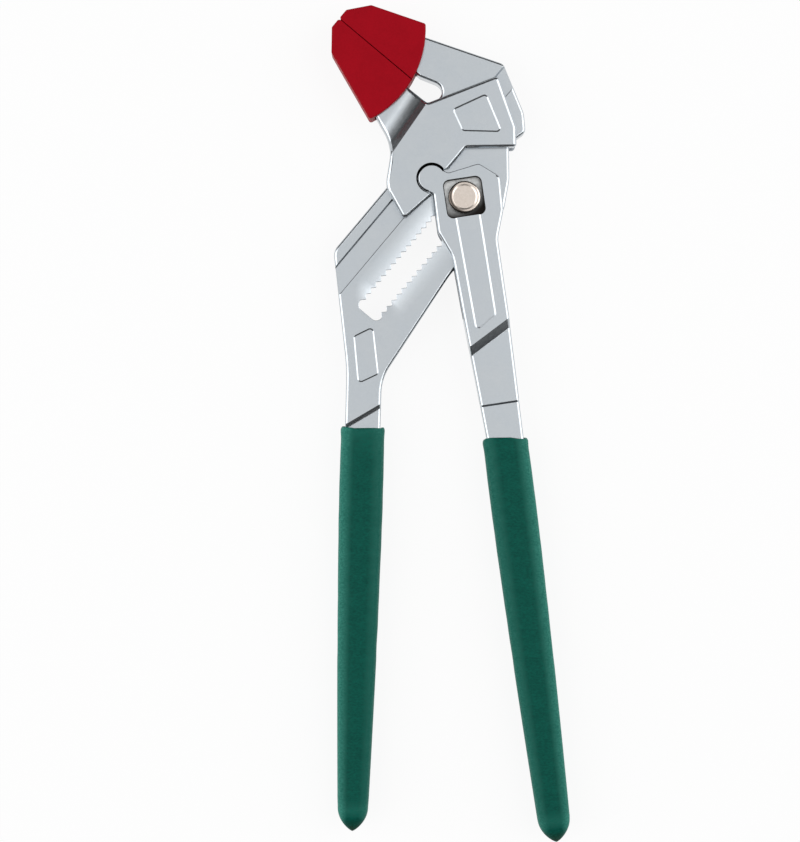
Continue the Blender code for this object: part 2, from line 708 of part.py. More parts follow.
def grip_ring(half_width, half_height, place):
    """Rounded-rectangle ring across a grip, at a place along it."""
    ring = []
    for side in range(GRIP_SIDES):
        angle = math.tau * (side + 0.5) / GRIP_SIDES
        across = math.copysign(abs(math.cos(angle)) ** (2 / SECTION_POWER), math.cos(angle))
        up = math.copysign(abs(math.sin(angle)) ** (2 / SECTION_POWER), math.sin(angle))
        ring.append(Vector((half_width * across, place, half_height * up)))
    return ring


def lofted(rings, tip):
    """Closed skin over rings of equal count, flat at the first ring and drawn to a point at the end."""
    shape = bmesh.new()
    loops = [[shape.verts.new(point) for point in ring] for ring in rings]
    point = shape.verts.new(tip)
    shape.faces.new(loops[0])
    for near, far in zip(loops, loops[1:]):
        for side in range(len(near)):
            shape.faces.new([near[side - 1], near[side], far[side], far[side - 1]])
    for side in range(len(loops[-1])):
        shape.faces.new([loops[-1][side - 1], loops[-1][side], point])
    bmesh.ops.recalc_face_normals(shape, faces=shape.faces)
    return shape


def grip(name, width, end_width, length, parent):
    """Dipped sleeve over a tang, slightly swelled, with rounded flanks and a bullet end."""
    wall = GRIP_WALL + FIT_GAP
    half_height = TANG_THICKNESS / 2 + wall
    mouth = width / 2 + wall
    end = end_width / 2 + wall
    body = length + GRIP_SHOULDER
    rings = [grip_ring(mouth - GRIP_LIP / 2, half_height - GRIP_LIP / 2, 0)]
    for step in range(GRIP_RINGS + 1):
        part = step / GRIP_RINGS
        swell = 4 * GRIP_SWELL * part * (1 - part)
        place = -GRIP_LIP - (body - GRIP_LIP) * part
        rings.append(grip_ring(mouth + (end - mouth) * part + swell, half_height, place))
    nose = wall + GRIP_TIP
    for step in range(1, TIP_RINGS):
        taper = math.sin(math.pi / 2 * (1 - step / TIP_RINGS))
        rings.append(grip_ring(end * taper, half_height * taper, -body - nose * (1 - taper ** 2)))
    piece = add(name, lofted(rings, (0, -body - nose, 0)), dipped_vinyl(), parent)
    end_round = end_width / TANG_TAPER
    bore = tang(width, end_width, length, FIT_GAP)
    bore_corners = [((bore[0][0], TANG_STEP), 0), (bore[0], 0), (bore[1], end_round), (bore[2], end_round),
                    (bore[3], 0), ((bore[3][0], TANG_STEP), 0)]
    half = TANG_THICKNESS / 2 + FIT_GAP
    combine(piece, [prism(rounded(bore_corners), -half, half)])


def jaw_cover(name, face, outward, back_line, back_wall, slide):
    """Moulded cover over one jaw's tip.

    face is the jaw's face, outward is -1 where the jaw lies above it and +1 where it lies below, and
    back_line holds two points of the jaw's back, from the tip to the root.
    """
    seam = face + outward * (COVER_FACE_WALL + FIT_GAP)
    tip = JAW_REACH + FIT_GAP + COVER_TIP_WALL
    lean = (Vector(back_line[0]) - Vector(back_line[1])).normalized()
    normal = Vector((lean.y, -lean.x)) * -outward
    outer = [Vector(point) + normal * (back_wall + FIT_GAP) for point in back_line]
    inner = [Vector(point) + normal * FIT_GAP for point in back_line]
    centre = (JAW_MIDDLE - COVER_ROOT_SHIFT, COVER_ROOT_CENTRE)
    slope = (outer[0].x - outer[1].x) / (outer[0].y - outer[1].y)
    shoulder = tip - COVER_BEVEL[1]
    shoulder_x = outer[1].x + slope * (shoulder - outer[1].y)
    root = root_crossing(outer[1], lean, centre)
    seam_angle = -math.degrees(math.acos((seam - centre[0]) / COVER_ROOT_RADIUS))
    root_angle = math.degrees(math.atan2(root.y - centre[1], root.x - centre[0]))
    corners = [
        *plain(arc(centre, COVER_ROOT_RADIUS, seam_angle, root_angle)),
        ((shoulder_x, shoulder), COVER_FILLET),
        ((shoulder_x + outward * COVER_BEVEL[0], tip), COVER_FILLET),
        ((seam - outward * COVER_NOTCH, tip), 0),
        ((seam, tip - COVER_NOTCH), 0),
    ]
    outline = rounded(corners)
    half = INNER_FACE + COVER_SIDE_WALL
    piece = add(name, prism(outline, -half, half, COVER_EDGE), cover_plastic(), slide)
    jaw = face + outward * FIT_GAP
    pocket_tip = JAW_REACH + FIT_GAP
    pocket_x = inner[1].x + slope * (pocket_tip - inner[1].y)
    root_x = inner[1].x + slope * (NECK_REACH - inner[1].y)
    pocket = [(jaw, pocket_tip), (pocket_x, pocket_tip), (root_x, NECK_REACH), (jaw, NECK_REACH)]
    combine(piece, [prism(pocket, -INNER_FACE, INNER_FACE)])


def root_crossing(start, lean, centre):
    """Where the line from start along lean leaves the lower half of the covers' root circle."""
    offset = start - Vector(centre)
    along = offset.dot(lean)
    reach = math.sqrt(along ** 2 - offset.length_squared + COVER_ROOT_RADIUS ** 2)
    return start + lean * (-along - reach)


def build():
    """Model every piece of the tool."""
    for old in list(bpy.data.objects):
        bpy.data.objects.remove(old)
    slide = frame("slide_frame", SLIDE_ANGLE)
    lever = frame("lever_frame", LEVER_TILT)
    fixed_grip = frame("fixed_grip_frame", HANDLE_TILT, handle_mouth())
    lever_grip = frame("lever_grip_frame", LEVER_GRIP_TILT, LEVER_MOUTH, lever)
    fixed_handle(slide)
    sliding_jaw(slide)
    lever_handle(lever)
    pivot_bolt(slide)
    lock_plunger(slide)
    push_button(slide)
    return_spring(slide)
    retaining_ring(slide)
    grip("left_grip", HANDLE_WIDTH, HANDLE_END_WIDTH, TANG_LENGTH, fixed_grip)
    grip("right_grip", LEVER_WIDTH, LEVER_END_WIDTH, LEVER_TANG, lever_grip)
    fixed_back = ((FIXED_FACE + FIXED_TIP_WIDTH, JAW_REACH), BACK_CORNER)
    sliding_back = ((SLIDING_FACE - SLIDING_TIP_WIDTH, JAW_REACH), WAIST)
    jaw_cover("upper_jaw_cover", FIXED_FACE, -1, fixed_back, COVER_HEEL_WALL, slide)
    jaw_cover("lower_jaw_cover", SLIDING_FACE, 1, sliding_back, COVER_BACK_WALL, slide)


build()
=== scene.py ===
"""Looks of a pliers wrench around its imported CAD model, as it lies on a pale studio floor."""
import logging
import math
from collections.abc import Callable, Sequence
from dataclasses import dataclass
from enum import Enum

import bmesh
import bpy
from mathutils import Matrix, Vector, noise


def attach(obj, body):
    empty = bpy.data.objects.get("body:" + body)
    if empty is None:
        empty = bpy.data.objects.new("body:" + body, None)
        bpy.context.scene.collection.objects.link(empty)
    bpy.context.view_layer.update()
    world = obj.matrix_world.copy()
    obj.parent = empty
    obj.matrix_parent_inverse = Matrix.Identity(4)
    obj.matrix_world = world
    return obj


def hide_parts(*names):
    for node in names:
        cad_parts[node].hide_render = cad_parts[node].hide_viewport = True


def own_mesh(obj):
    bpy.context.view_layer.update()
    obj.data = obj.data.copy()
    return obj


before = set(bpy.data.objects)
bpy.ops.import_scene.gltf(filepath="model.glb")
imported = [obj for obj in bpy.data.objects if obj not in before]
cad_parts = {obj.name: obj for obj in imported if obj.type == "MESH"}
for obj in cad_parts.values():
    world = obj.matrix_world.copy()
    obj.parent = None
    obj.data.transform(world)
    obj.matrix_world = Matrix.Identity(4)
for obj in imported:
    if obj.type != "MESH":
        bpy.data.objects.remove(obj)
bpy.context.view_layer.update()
LOG = logging.getLogger("pliers_wrench")

Pair = tuple[float, float]
Triple = tuple[float, float, float]
Point = Pair | Vector
Corner = tuple[Point, float]
Shape = bmesh.types.BMesh
Face = bmesh.types.BMFace
Ring = list[bmesh.types.BMVert]
Tree = bpy.types.NodeTree
Socket = bpy.types.NodeSocket
CutterMaker = Callable[[], Shape]
FaceTest = Callable[[Face], bool]
RimShare = Callable[[Vector, Vector], float]

# Shared sizes in metres, as the solids have them
MID_HEIGHT = 0.0072
SLIDE_ANGLE = 50.0
LEVER_TILT = 8.5
RUN_GAP = 0.0003
FIT_GAP = 0.0003
HALF_ARM = 0.0040
OUTER_FACE = 0.0072
INNER_FACE = HALF_ARM + RUN_GAP
HALF_TANG = 0.0034
TANG_LENGTH = 0.1120
JAW_REACH = 0.0585
FIXED_FACE = 0.0194
SLIDING_FACE = 0.0146
NECK_REACH = 0.0250
NECK_SHOULDER = 0.0120
RAIL_EDGE = 0.0198
GROOVE = (0.01005, 0.01595)
GROOVE_DEPTH = 0.0012
BACK_CORNER = (0.0384, 0.0168)
FIXED_TIP_WIDTH = 0.0029
SLIDING_TIP_WIDTH = 0.0047
WAIST = (-0.0018, 0.0266)
NOSE = (-0.0088, 0.0071)
NOSE_RADIUS = 0.0039
# Width of a tang's end over the radius of its corners
TANG_ROUNDING = 3

# Sizes of the cutters in metres
PANEL_FILLET = 0.0012
LEAST_FILLET = 0.00025
FAR = 0.24

# Fineness of the meshes
ARC_STEP = 4.0
LEAST_STEPS = 3
LEAST_SWEEP = math.radians(1)
LATHE_STEPS = 96
BAND_STEPS = 14
RIM_SEGMENTS = 10

# Limits that tell points, faces and edges apart
WELD = 1e-6
UPRIGHT = 1e-3
WALL_SLOPE = 0.9
SEAM_FACING = 0.9
FLAT_ANGLE = math.radians(0.3)
SHARP_ANGLE = math.radians(10)
SOFT_ANGLE = math.radians(60)

# Names of short-lived objects and of the grips' attribute of painted light and shade, and the numbers of a
# mix node's sockets
WORKING = "working_shape"
PAINTED_LIGHT = "painted_light_share"
SHARE, NUMBER_A, NUMBER_B, COLOUR_A, COLOUR_B, COLOUR_OUT = 0, 2, 3, 6, 7, 2

# Fineness of the noise, the part of its range that it fills, and how far flecks spread
NOISE = {"Detail": 3.0, "Roughness": 0.6}
NOISE_SPAN = {"From Min": 0.3, "From Max": 0.7}
FLECK_SPAN = {"To Min": 0.4, "To Max": 1.4}
WHITE = "FFFFFF"
FULL_BYTE = 255
SRGB_KNEE, SRGB_SLOPE, SRGB_OFFSET, SRGB_POWER = 0.04045, 12.92, 0.055, 2.4
MILLIMETRES = 1000


class Body(Enum):
    """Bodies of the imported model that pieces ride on."""

    FIXED = "fixed"
    PIVOT = "pivot"
    LEVER = "lever"
    JAW = "jaw"
    BUTTON = "button"
    UPPER_COVER = "upper_cover"
    LOWER_COVER = "lower_cover"


class Side(Enum):
    """Which of the two jaws a cover sits on; the value is the way from the jaw's face to the seam."""

    UPPER = -1
    LOWER = 1


def turn(degrees: float) -> Matrix:
    """Plane rotation by an angle in degrees."""
    return Matrix.Rotation(math.radians(degrees), 2)


def laid(place: Triple, degrees: float) -> Matrix:
    """Matrix that turns by an angle in degrees about Z and then moves to a place."""
    return Matrix.Translation(place) @ Matrix.Rotation(math.radians(degrees), 4, "Z")


def placed(degrees: float, place: Point = (0, 0)) -> Matrix:
    """Matrix from a piece's own frame, in the tool's middle plane, to the row frame."""
    return laid((*place, MID_HEIGHT), degrees)


def on_line(line: tuple[Vector, Vector], height: float) -> Pair:
    """The point at a height on a line, which is a point and a direction in the plane."""
    start, lean = line
    return start.x + lean.x / lean.y * (height - start.y), height


def rectangle(low: Pair, high: Pair) -> list[Vector]:
    """Corners of an upright rectangle, from its lower left one round by its lower right one."""
    return [Vector(point) for point in (low, (high[0], low[1]), high, (low[0], high[1]))]


def arc(centre: Point, radius: float, start: float, end: float) -> list[Vector]:
    """Points on a circle.

    Args:
        centre: Middle of the circle.
        radius: Its radius.
        start: First angle in degrees.
        end: Last angle in degrees.

    Returns:
        The points from start to end.
    """
    steps = max(LEAST_STEPS, round(abs(end - start) / ARC_STEP))
    angles = [math.radians(start + (end - start) * step / steps) for step in range(steps + 1)]
    return [
        Vector((centre[0] + radius * math.cos(angle), centre[1] + radius * math.sin(angle)))
        for angle in angles
    ]


def rounded(corners: Sequence[Corner]) -> list[Vector]:
    """Outline through corners that are rounded by arcs touching both their sides.

    Args:
        corners: Pairs of a point and its fillet radius, where 0 leaves the point sharp.

    Returns:
        The outline's points in the same order.
    """
    outline = []
    for index, (point, radius) in enumerate(corners):
        here = Vector(point)
        back = Vector(corners[index - 1][0]) - here
        ahead = Vector(corners[(index + 1) % len(corners)][0]) - here
        half = back.angle(ahead) / 2
        sweep = math.pi - 2 * half
        if radius == 0 or sweep < LEAST_SWEEP:
            outline.append(here)
            continue
        middle = here + (back.normalized() + ahead.normalized()).normalized() * radius / math.sin(half)
        arm = here + back.normalized() * radius / math.tan(half) - middle
        side = math.copysign(1, ahead.cross(back))
        steps = max(LEAST_STEPS, round(math.degrees(sweep) / ARC_STEP))
        for step in range(steps + 1):
            outline.append(middle + Matrix.Rotation(side * sweep * step / steps, 2) @ arm)
    return outline


def sharp(points: Sequence[Point]) -> list[Corner]:
    """Corners without a fillet."""
    return [(point, 0) for point in points]


def tang_corners(width: float, end_width: float, length: float) -> list[Corner]:
    """Corners of a tapered tang that runs down from the origin, from its left shoulder to its right one."""
    half, end, fillet = width / 2, end_width / 2, end_width / TANG_ROUNDING
    return [((-half, 0), 0), ((-end, -length), fillet), ((end, -length), fillet), ((half, 0), 0)]


def drawn_out(points: Sequence[Triple], way: Triple) -> Shape:
    """Closed bar of a flat outline.

    Args:
        points: The outline's points.
        way: How far and in which direction they are drawn out.

    Returns:
        The closed bar.
    """
    shape = bmesh.new()
    floor = shape.faces.new([shape.verts.new(point) for point in points])
    raised = bmesh.ops.extrude_face_region(shape, geom=[floor])["geom"]
    lifted = [item for item in raised if isinstance(item, bmesh.types.BMVert)]
    bmesh.ops.translate(shape, verts=lifted, vec=way)
    bmesh.ops.recalc_face_normals(shape, faces=shape.faces)
    return shape


def slab(outline: Sequence[Point], low: float, high: float) -> Shape:
    """Upright block of an outline in the plane, between two heights."""
    return drawn_out([(*point, low) for point in outline], (0, 0, high - low))


def inset(points: Sequence[Point], distance: float) -> list[Vector]:
    """Corners of a convex outline moved in, so that every side moves by the same distance.

    Args:
        points: The outline's corners.
        distance: How far each side moves.

    Returns:
        The inner corners in the same order.
    """
    inner = []
    for index, point in enumerate(points):
        here = Vector(point)
        back = (Vector(points[index - 1]) - here).normalized()
        ahead = (Vector(points[(index + 1) % len(points)]) - here).normalized()
        inner.append(here + (back + ahead).normalized() * distance / math.sin(back.angle(ahead) / 2))
    return inner


def next_ring(shape: Shape, ring: Ring) -> Ring:
    """Extrude a closed ring of vertices, keeping its order.

    Args:
        shape: The shape so far.
        ring: The ring at its open end.

    Returns:
        The new ring, still in the same place.
    """
    edges = [shape.edges.get((ring[index - 1], vert)) for index, vert in enumerate(ring)]
    made = bmesh.ops.extrude_edge_only(shape, edges=edges)["geom"]
    fresh = {item for item in made if isinstance(item, bmesh.types.BMVert)}
    return [
        next(edge.other_vert(vert) for edge in vert.link_edges if edge.other_vert(vert) in fresh)
        for vert in ring
    ]


def pocket(corners: Sequence[Point], fillet: float, levels: Sequence[Pair]) -> Shape:
    """Cutter for a recess whose walls may lean.

    Args:
        corners: The recess at the surface.
        fillet: Radius of its corners there.
        levels: Pairs of how far the walls have come in and at which height, from the floor up.

    Returns:
        The closed cutter.
    """
    outlines = [
        rounded([(point, max(fillet - lean, LEAST_FILLET)) for point in inset(corners, lean)])
        for lean, _ in levels
    ]
    shape = bmesh.new()
    ring = [shape.verts.new((*point, levels[0][1])) for point in outlines[0]]
    shape.faces.new(ring)
    for outline, (_, height) in zip(outlines[1:], levels[1:]):
        ring = next_ring(shape, ring)
        for vert, point in zip(ring, outline):
            vert.co = (*point, height)
    shape.faces.new(ring)
    bmesh.ops.recalc_face_normals(shape, faces=shape.faces)
    return shape


def panel_cutter(corners: Sequence[Point], face: float, wall: Pair) -> Shape:
    """Cutter of a shallow coined panel in a face, by how far its walls lean in and how deep they go."""
    lean, depth = wall
    return pocket(corners, PANEL_FILLET, [(lean, face - depth), (0, face), (0, face + OUTER_FACE)])


def lathe(profile: Sequence[Point]) -> Shape:
    """Solid of revolution about Z.

    Args:
        profile: Pairs of radius and height that start and end on the axis.

    Returns:
        The closed solid.
    """
    shape = bmesh.new()
    line = [shape.verts.new((radius, 0, height)) for radius, height in profile]
    edges = [shape.edges.new(pair) for pair in zip(line, line[1:])]
    bmesh.ops.spin(
        shape, geom=line + edges, cent=(0, 0, 0), axis=(0, 0, 1), angle=math.tau,
        steps=LATHE_STEPS, use_merge=True,
    )
    bmesh.ops.remove_doubles(shape, verts=shape.verts, dist=WELD)
    bmesh.ops.recalc_face_normals(shape, faces=shape.faces)
    return shape


def cylinder(radius: float, low: float, high: float) -> Shape:
    """Plain round cutter on the pivot axis."""
    return lathe([(0, low), (radius, low), (radius, high), (0, high)])


def run_along(section: Sequence[Point], place: Point = (0, 0), degrees: float = 0.0) -> Shape:
    """Long bar of a closed section, laid along a line.

    Args:
        section: Pairs across the line and up.
        place: A point of the line.
        degrees: Direction of the line.

    Returns:
        The closed bar, longer than the tool both ways.
    """
    shape = drawn_out([(-FAR, across, up) for across, up in section], (2 * FAR, 0, 0))
    bmesh.ops.transform(shape, matrix=laid((*place, 0), degrees), verts=shape.verts)
    return shape


def hollow_step(place: Point, degrees: float, drop: Pair, run: float, straight: float) -> Shape:
    """Cutter that lowers a face past a line, down a slope that starts straight and runs out hollow.

    Args:
        place: A point of the line.
        degrees: Direction of the line.
        drop: Heights of the higher and the lower face.
        run: Length of the slope between them.
        straight: Share of the run that is straight.

    Returns:
        The closed cutter.
    """
    top, bottom = drop
    pitch = 2 * (top - bottom) / (1 + straight)
    section = []
    for step in range(BAND_STEPS + 1):
        part = step / BAND_STEPS
        fall = pitch * part
        if part > straight:
            fall -= pitch * (part - straight) ** 2 / (2 - 2 * straight)
        section.append((-run * part, top - fall))
    section += [(-FAR, bottom), (-FAR, 2 * top), (0, 2 * top)]
    return run_along(section, place, degrees)


def flipped(shape: Shape) -> Shape:
    """Mirror a shape to the other side of the middle plane.

    Args:
        shape: The shape to change.

    Returns:
        The same shape.
    """
    bmesh.ops.scale(shape, vec=(1, 1, -1), verts=shape.verts)
    bmesh.ops.reverse_faces(shape, faces=shape.faces)
    return shape


def both_faces(*makers: CutterMaker) -> list[Shape]:
    """Cutters of the front face, then the same ones mirrored for the rear face."""
    return [*(make() for make in makers), *(flipped(make()) for make in makers)]


def put(name: str, shape: Shape) -> bpy.types.Object:
    """Put a shape into the scene.

    Args:
        name: Name of the object and its mesh.
        shape: Its geometry, which is used up.

    Returns:
        The object, at the origin.
    """
    mesh = bpy.data.meshes.new(name)
    shape.to_mesh(mesh)
    shape.free()
    holder = bpy.data.objects.new(name, mesh)
    bpy.context.scene.collection.objects.link(holder)
    return holder


def cut(shape: Shape, cutters: list[Shape], rim: float = 0.0, added: list[Shape] | None = None) -> Shape:
    """Round the marked rims of a shape, add solids to it, then take cutters out of it.

    Args:
        shape: The solid, which is used up.
        cutters: Closed shapes to take out, which are used up.
        rim: Radius of the rounding where a rim is marked in full.
        added: Closed shapes to add, which are used up.

    Returns:
        What is left, welded, with its flat faces whole.
    """
    block = put(WORKING, shape)
    tools = [("UNION", put(WORKING, item)) for item in added or []]
    tools += [("DIFFERENCE", put(WORKING, item)) for item in cutters]
    if rim:
        edge = block.modifiers.new("rounded rims", "BEVEL")
        edge.limit_method = "WEIGHT"
        edge.width = rim
        edge.segments = RIM_SEGMENTS
        edge.profile = 0.5
        edge.use_clamp_overlap = False
    for operation, tool in tools:
        step = block.modifiers.new(tool.name, "BOOLEAN")
        step.operation = operation
        step.solver = "EXACT"
        step.object = tool
    graph = bpy.context.evaluated_depsgraph_get()
    left = bmesh.new()
    left.from_mesh(block.evaluated_get(graph).to_mesh())
    for item in [block, *(tool for _, tool in tools)]:
        bpy.data.meshes.remove(item.data)
    bmesh.ops.remove_doubles(left, verts=left.verts, dist=WELD)
    bmesh.ops.dissolve_limit(left, angle_limit=FLAT_ANGLE, verts=left.verts, edges=left.edges)
    bmesh.ops.recalc_face_normals(left, faces=left.faces)
    left.normal_update()
    return left


def full_rim(middle: Vector, wall: Vector) -> float:
    """Rim share of a forging that is rounded alike all round."""
    return 1.0


def mark_rims(shape: Shape, share: RimShare) -> None:
    """Mark each outer edge between an upright wall and a face that isn't upright, to be rounded.

    Args:
        shape: The solid to mark.
        share: Part of the full radius, by the edge's middle and the wall's normal.
    """
    shape.normal_update()
    layer = shape.edges.layers.float.new("bevel_weight_edge")
    for edge in shape.edges:
        walls = [face for face in edge.link_faces if abs(face.normal.z) < UPRIGHT]
        if len(edge.link_faces) == 2 and len(walls) == 1 and edge.is_convex:
            edge[layer] = share((edge.verts[0].co + edge.verts[1].co) / 2, walls[0].normal)


def finish_piece(
    name: str, shape: Shape, place: Matrix, body: Body, finish: "Finish",
    inner: "dict[Finish, FaceTest] | None" = None, crease: float = SHARP_ANGLE,
) -> bpy.types.Object:
    """Make a piece of a shape and let it ride on its body.

    Args:
        name: The piece's name.
        shape: Its geometry in its own frame, which is used up.
        place: Matrix from that frame to the row frame.
        body: The body that it moves with.
        finish: Its material.
        inner: Further materials, and which faces of the shape have each of them.
        crease: Angle between faces from which their edge is shaded sharp.

    Returns:
        The finished object, at the origin with its place in its mesh.
    """
    for number, test in enumerate((inner or {}).values(), start=1):
        for face in filter(test, shape.faces):
            face.material_index = number
    bmesh.ops.transform(shape, matrix=place, verts=shape.verts)
    piece = put(name, shape)
    piece.data.shade_smooth()
    piece.data.set_sharp_from_angle(angle=crease)
    for surface in (finish, *(inner or {})):
        piece.data.materials.append(surface.material())
    even = piece.modifiers.new("flat faces stay flat", "WEIGHTED_NORMAL")
    even.keep_sharp = True
    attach(piece, body.value)
    LOG.info("%s: %d faces on %s", name, len(piece.data.polygons), body.value)
    return piece


def linear(colour: str) -> tuple[float, float, float, float]:
    """Linear RGBA of an sRGB colour.

    Args:
        colour: Its hex value.

    Returns:
        Red, green and blue as linear light, and full opacity.
    """
    parts = [byte / FULL_BYTE for byte in bytes.fromhex(colour)]
    straight = [
        part / SRGB_SLOPE if part <= SRGB_KNEE else ((part + SRGB_OFFSET) / (1 + SRGB_OFFSET)) ** SRGB_POWER
        for part in parts
    ]
    return (*straight, 1.0)


def add_node(
    tree: Tree, kind: str, settings: dict | None = None, links: dict | None = None
) -> bpy.types.Node:
    """Add a node with its settings and links.

    Args:
        tree: The node tree.
        kind: The node's type name.
        settings: Values by property name, or by input name or number.
        links: Output sockets by input name or number.

    Returns:
        The new node.
    """
    node = tree.nodes.new(kind)
    for name, value in (settings or {}).items():
        if isinstance(name, str) and hasattr(node, name):
            setattr(node, name, value)
        else:
            node.inputs[name].default_value = value
    for name, source in (links or {}).items():
        tree.links.new(source, node.inputs[name])
    return node


def per_metre(millimetres: float) -> float:
    """Texture scale at which one feature is that many millimetres wide."""
    return MILLIMETRES / millimetres


def plain_surface(name: str, colour: str, roughness: float) -> bpy.types.Material:
    """Material of one colour.

    Args:
        name: Its name.
        colour: Its hex value.
        roughness: How matt it is.

    Returns:
        The new material.
    """
    surface = bpy.data.materials.new(name)
    surface.use_nodes = True
    shader = surface.node_tree.nodes["Principled BSDF"]
    shader.inputs["Base Color"].default_value = linear(colour)
    shader.inputs["Roughness"].default_value = roughness
    return surface


@dataclass(frozen=True)
class ShadePatch:
    """Painted shade that darkens a surface away from a point of the row frame, in metres."""

    centre: Triple
    reach: Pair
    colour: str


@dataclass(frozen=True)
class Finish:
    """A procedural surface: mottled and speckled colour, uneven gloss and a fine grain.

    The pattern sizes are in millimetres on the surface.
    """

    name: str
    slot: str
    colour: str
    mottle: str
    metallic: float
    gloss: Pair
    mottle_size: float
    grain_size: float
    grain_height: float
    speckle: float = 0.5
    stretch: Triple = (1.0, 1.0, 1.0)
    specular: float = 0.5
    painted_light_colour: str = ""
    painted_shade_colour: str = ""
    shade_patch: ShadePatch | None = None

    def material(self) -> bpy.types.Material:
        """The material of this finish, made once."""
        return bpy.data.materials.get(self.name) or self.build()

    def shade_patch_share(self, tree: Tree, place: Socket) -> Socket:
        """How much of the painted shade covers the colour.

        Args:
            tree: The node tree.
            place: Socket of the coordinates.

        Returns:
            The share, 0 inside the painted shade's reach and 1 outside it.
        """
        near, far = self.shade_patch.reach
        away = add_node(
            tree, "ShaderNodeVectorMath", {"operation": "DISTANCE", 1: self.shade_patch.centre}, {0: place}
        )
        share = add_node(
            tree, "ShaderNodeMapRange",
            {"interpolation_type": "SMOOTHSTEP", "From Min": near, "From Max": far},
            {"Value": away.outputs["Value"]},
        )
        return share.outputs["Result"]

    def light_and_shade_shares(self, tree: Tree, grain: Socket) -> list[tuple[Socket, str]]:
        """Where the vinyl gets painted light and painted shade.

        Args:
            tree: The node tree.
            grain: Socket of the fine noise that flecks it.

        Returns:
            The share and the colour of the painted light, then those of the painted shade.
        """
        lit = add_node(tree, "ShaderNodeAttribute", {"attribute_name": PAINTED_LIGHT}).outputs["Fac"]
        flecks = add_node(tree, "ShaderNodeMapRange", {**NOISE_SPAN, **FLECK_SPAN}, {"Value": grain})
        shares = []
        for most, colour in ((1.0, self.painted_light_colour), (-1.0, self.painted_shade_colour)):
            part = add_node(tree, "ShaderNodeMapRange", {"From Max": most}, {"Value": lit})
            share = add_node(
                tree, "ShaderNodeMath", {"operation": "MULTIPLY", "use_clamp": True},
                {0: part.outputs["Result"], 1: flecks.outputs["Result"]},
            )
            shares.append((share.outputs[0], colour))
        return shares

    def build(self) -> bpy.types.Material:
        """Make the node tree.

        Returns:
            The new material.
        """
        surface = bpy.data.materials.new(self.name)
        surface.use_nodes = True
        tree = surface.node_tree
        shader = tree.nodes["Principled BSDF"]
        place = add_node(tree, "ShaderNodeTexCoord").outputs["Object"]
        lay = add_node(tree, "ShaderNodeMapping", {"Scale": self.stretch}, {"Vector": place}).outputs[0]
        patches, grain = (
            add_node(
                tree, "ShaderNodeTexNoise", {**NOISE, "Scale": per_metre(size)}, {"Vector": lay}
            ).outputs["Fac"]
            for size in (self.mottle_size, self.grain_size)
        )
        both = add_node(
            tree, "ShaderNodeMix", {"data_type": "FLOAT", SHARE: self.speckle},
            {NUMBER_A: patches, NUMBER_B: grain},
        )
        spread = add_node(tree, "ShaderNodeMapRange", NOISE_SPAN, {"Value": both.outputs[0]})
        tint = add_node(
            tree, "ShaderNodeMix",
            {"data_type": "RGBA", COLOUR_A: linear(self.colour), COLOUR_B: linear(self.mottle)},
            {SHARE: spread.outputs["Result"]},
        ).outputs[COLOUR_OUT]
        # Painted shade away from a point, then the vinyl's painted light and painted shade, are laid over the
        # colour
        layers = [(self.shade_patch_share(tree, place), self.shade_patch.colour)] if self.shade_patch else []
        layers += self.light_and_shade_shares(tree, grain) if self.painted_light_colour else []
        for share, colour in layers:
            tint = add_node(
                tree, "ShaderNodeMix", {"data_type": "RGBA", COLOUR_B: linear(colour)},
                {SHARE: share, COLOUR_A: tint},
            ).outputs[COLOUR_OUT]
        least, most = self.gloss
        shine = add_node(
            tree, "ShaderNodeMapRange", {**NOISE_SPAN, "To Min": least, "To Max": most}, {"Value": patches}
        )
        bump = add_node(
            tree, "ShaderNodeBump", {"Strength": 1.0, "Distance": self.grain_height / MILLIMETRES},
            {"Height": grain},
        )
        shader.inputs["Metallic"].default_value = self.metallic
        shader.inputs["Specular IOR Level"].default_value = self.specular
        tree.links.new(tint, shader.inputs["Base Color"])
        tree.links.new(shine.outputs["Result"], shader.inputs["Roughness"])
        tree.links.new(bump.outputs["Normal"], shader.inputs["Normal"])
        return surface


# In every finish the real grain is finer than 0.1 mm, and is drawn 0.4 to 0.6 mm wide so that it shows

# Nickel-chrome plate over a shot-blasted forging: an even pale grey with a soft sheen, faintly mottled
BLASTED_CHROME = Finish(
    name="nickel chrome plated blasted steel", slot="satin_plated_steel", colour="BCC1C5", mottle="B0B6BB",
    metallic=1.0, gloss=(0.18, 0.26), mottle_size=8.0, grain_size=0.6, grain_height=0.002, speckle=0.2,
)
# Turned and polished nickel: warm white metal with a sharper shine, with painted shade that darkens it away
# from a point just right of the button's top, over the left of the rim and the lower parts of the bolt
TURNED_NICKEL = Finish(
    name="turned polished nickel", slot="bright_nickel", colour="D6CCC3", mottle="C6BBB1",
    metallic=1.0, gloss=(0.18, 0.26), mottle_size=3.0, grain_size=0.6, grain_height=0.002,
    shade_patch=ShadePatch(centre=(0.0011, 0.0004, 0.0155), reach=(0.0043, 0.0051), colour="57504A"),
)
# A steel recess with painted shade: grey at the upper left, nearly black at the lower right
SHADED_RECESS = Finish(
    name="steel recess with painted shade", slot="satin_plated_steel", colour="C4C6C6", mottle="9A9B9A",
    metallic=1.0, gloss=(0.25, 0.45), mottle_size=2.0, grain_size=0.6, grain_height=0.010,
    shade_patch=ShadePatch(centre=(-0.0030, 0.0045, 0.0124), reach=(0.0060, 0.0112), colour="1C1A18"),
)
# Painted shade in corners: a dark line round the button's window and round the nose
SHADED_EDGE = Finish(
    name="painted shade in recess edges", slot="satin_plated_steel", colour="4A4846", mottle="2A2927",
    metallic=1.0, gloss=(0.35, 0.55), mottle_size=2.0, grain_size=0.6, grain_height=0.010,
)
# Drawn spring wire: dull dark steel
DRAWN_WIRE = Finish(
    name="drawn spring steel", slot="spring_steel", colour="95959A", mottle="86868B",
    metallic=1.0, gloss=(0.35, 0.45), mottle_size=1.0, grain_size=0.4, grain_height=0.003,
)
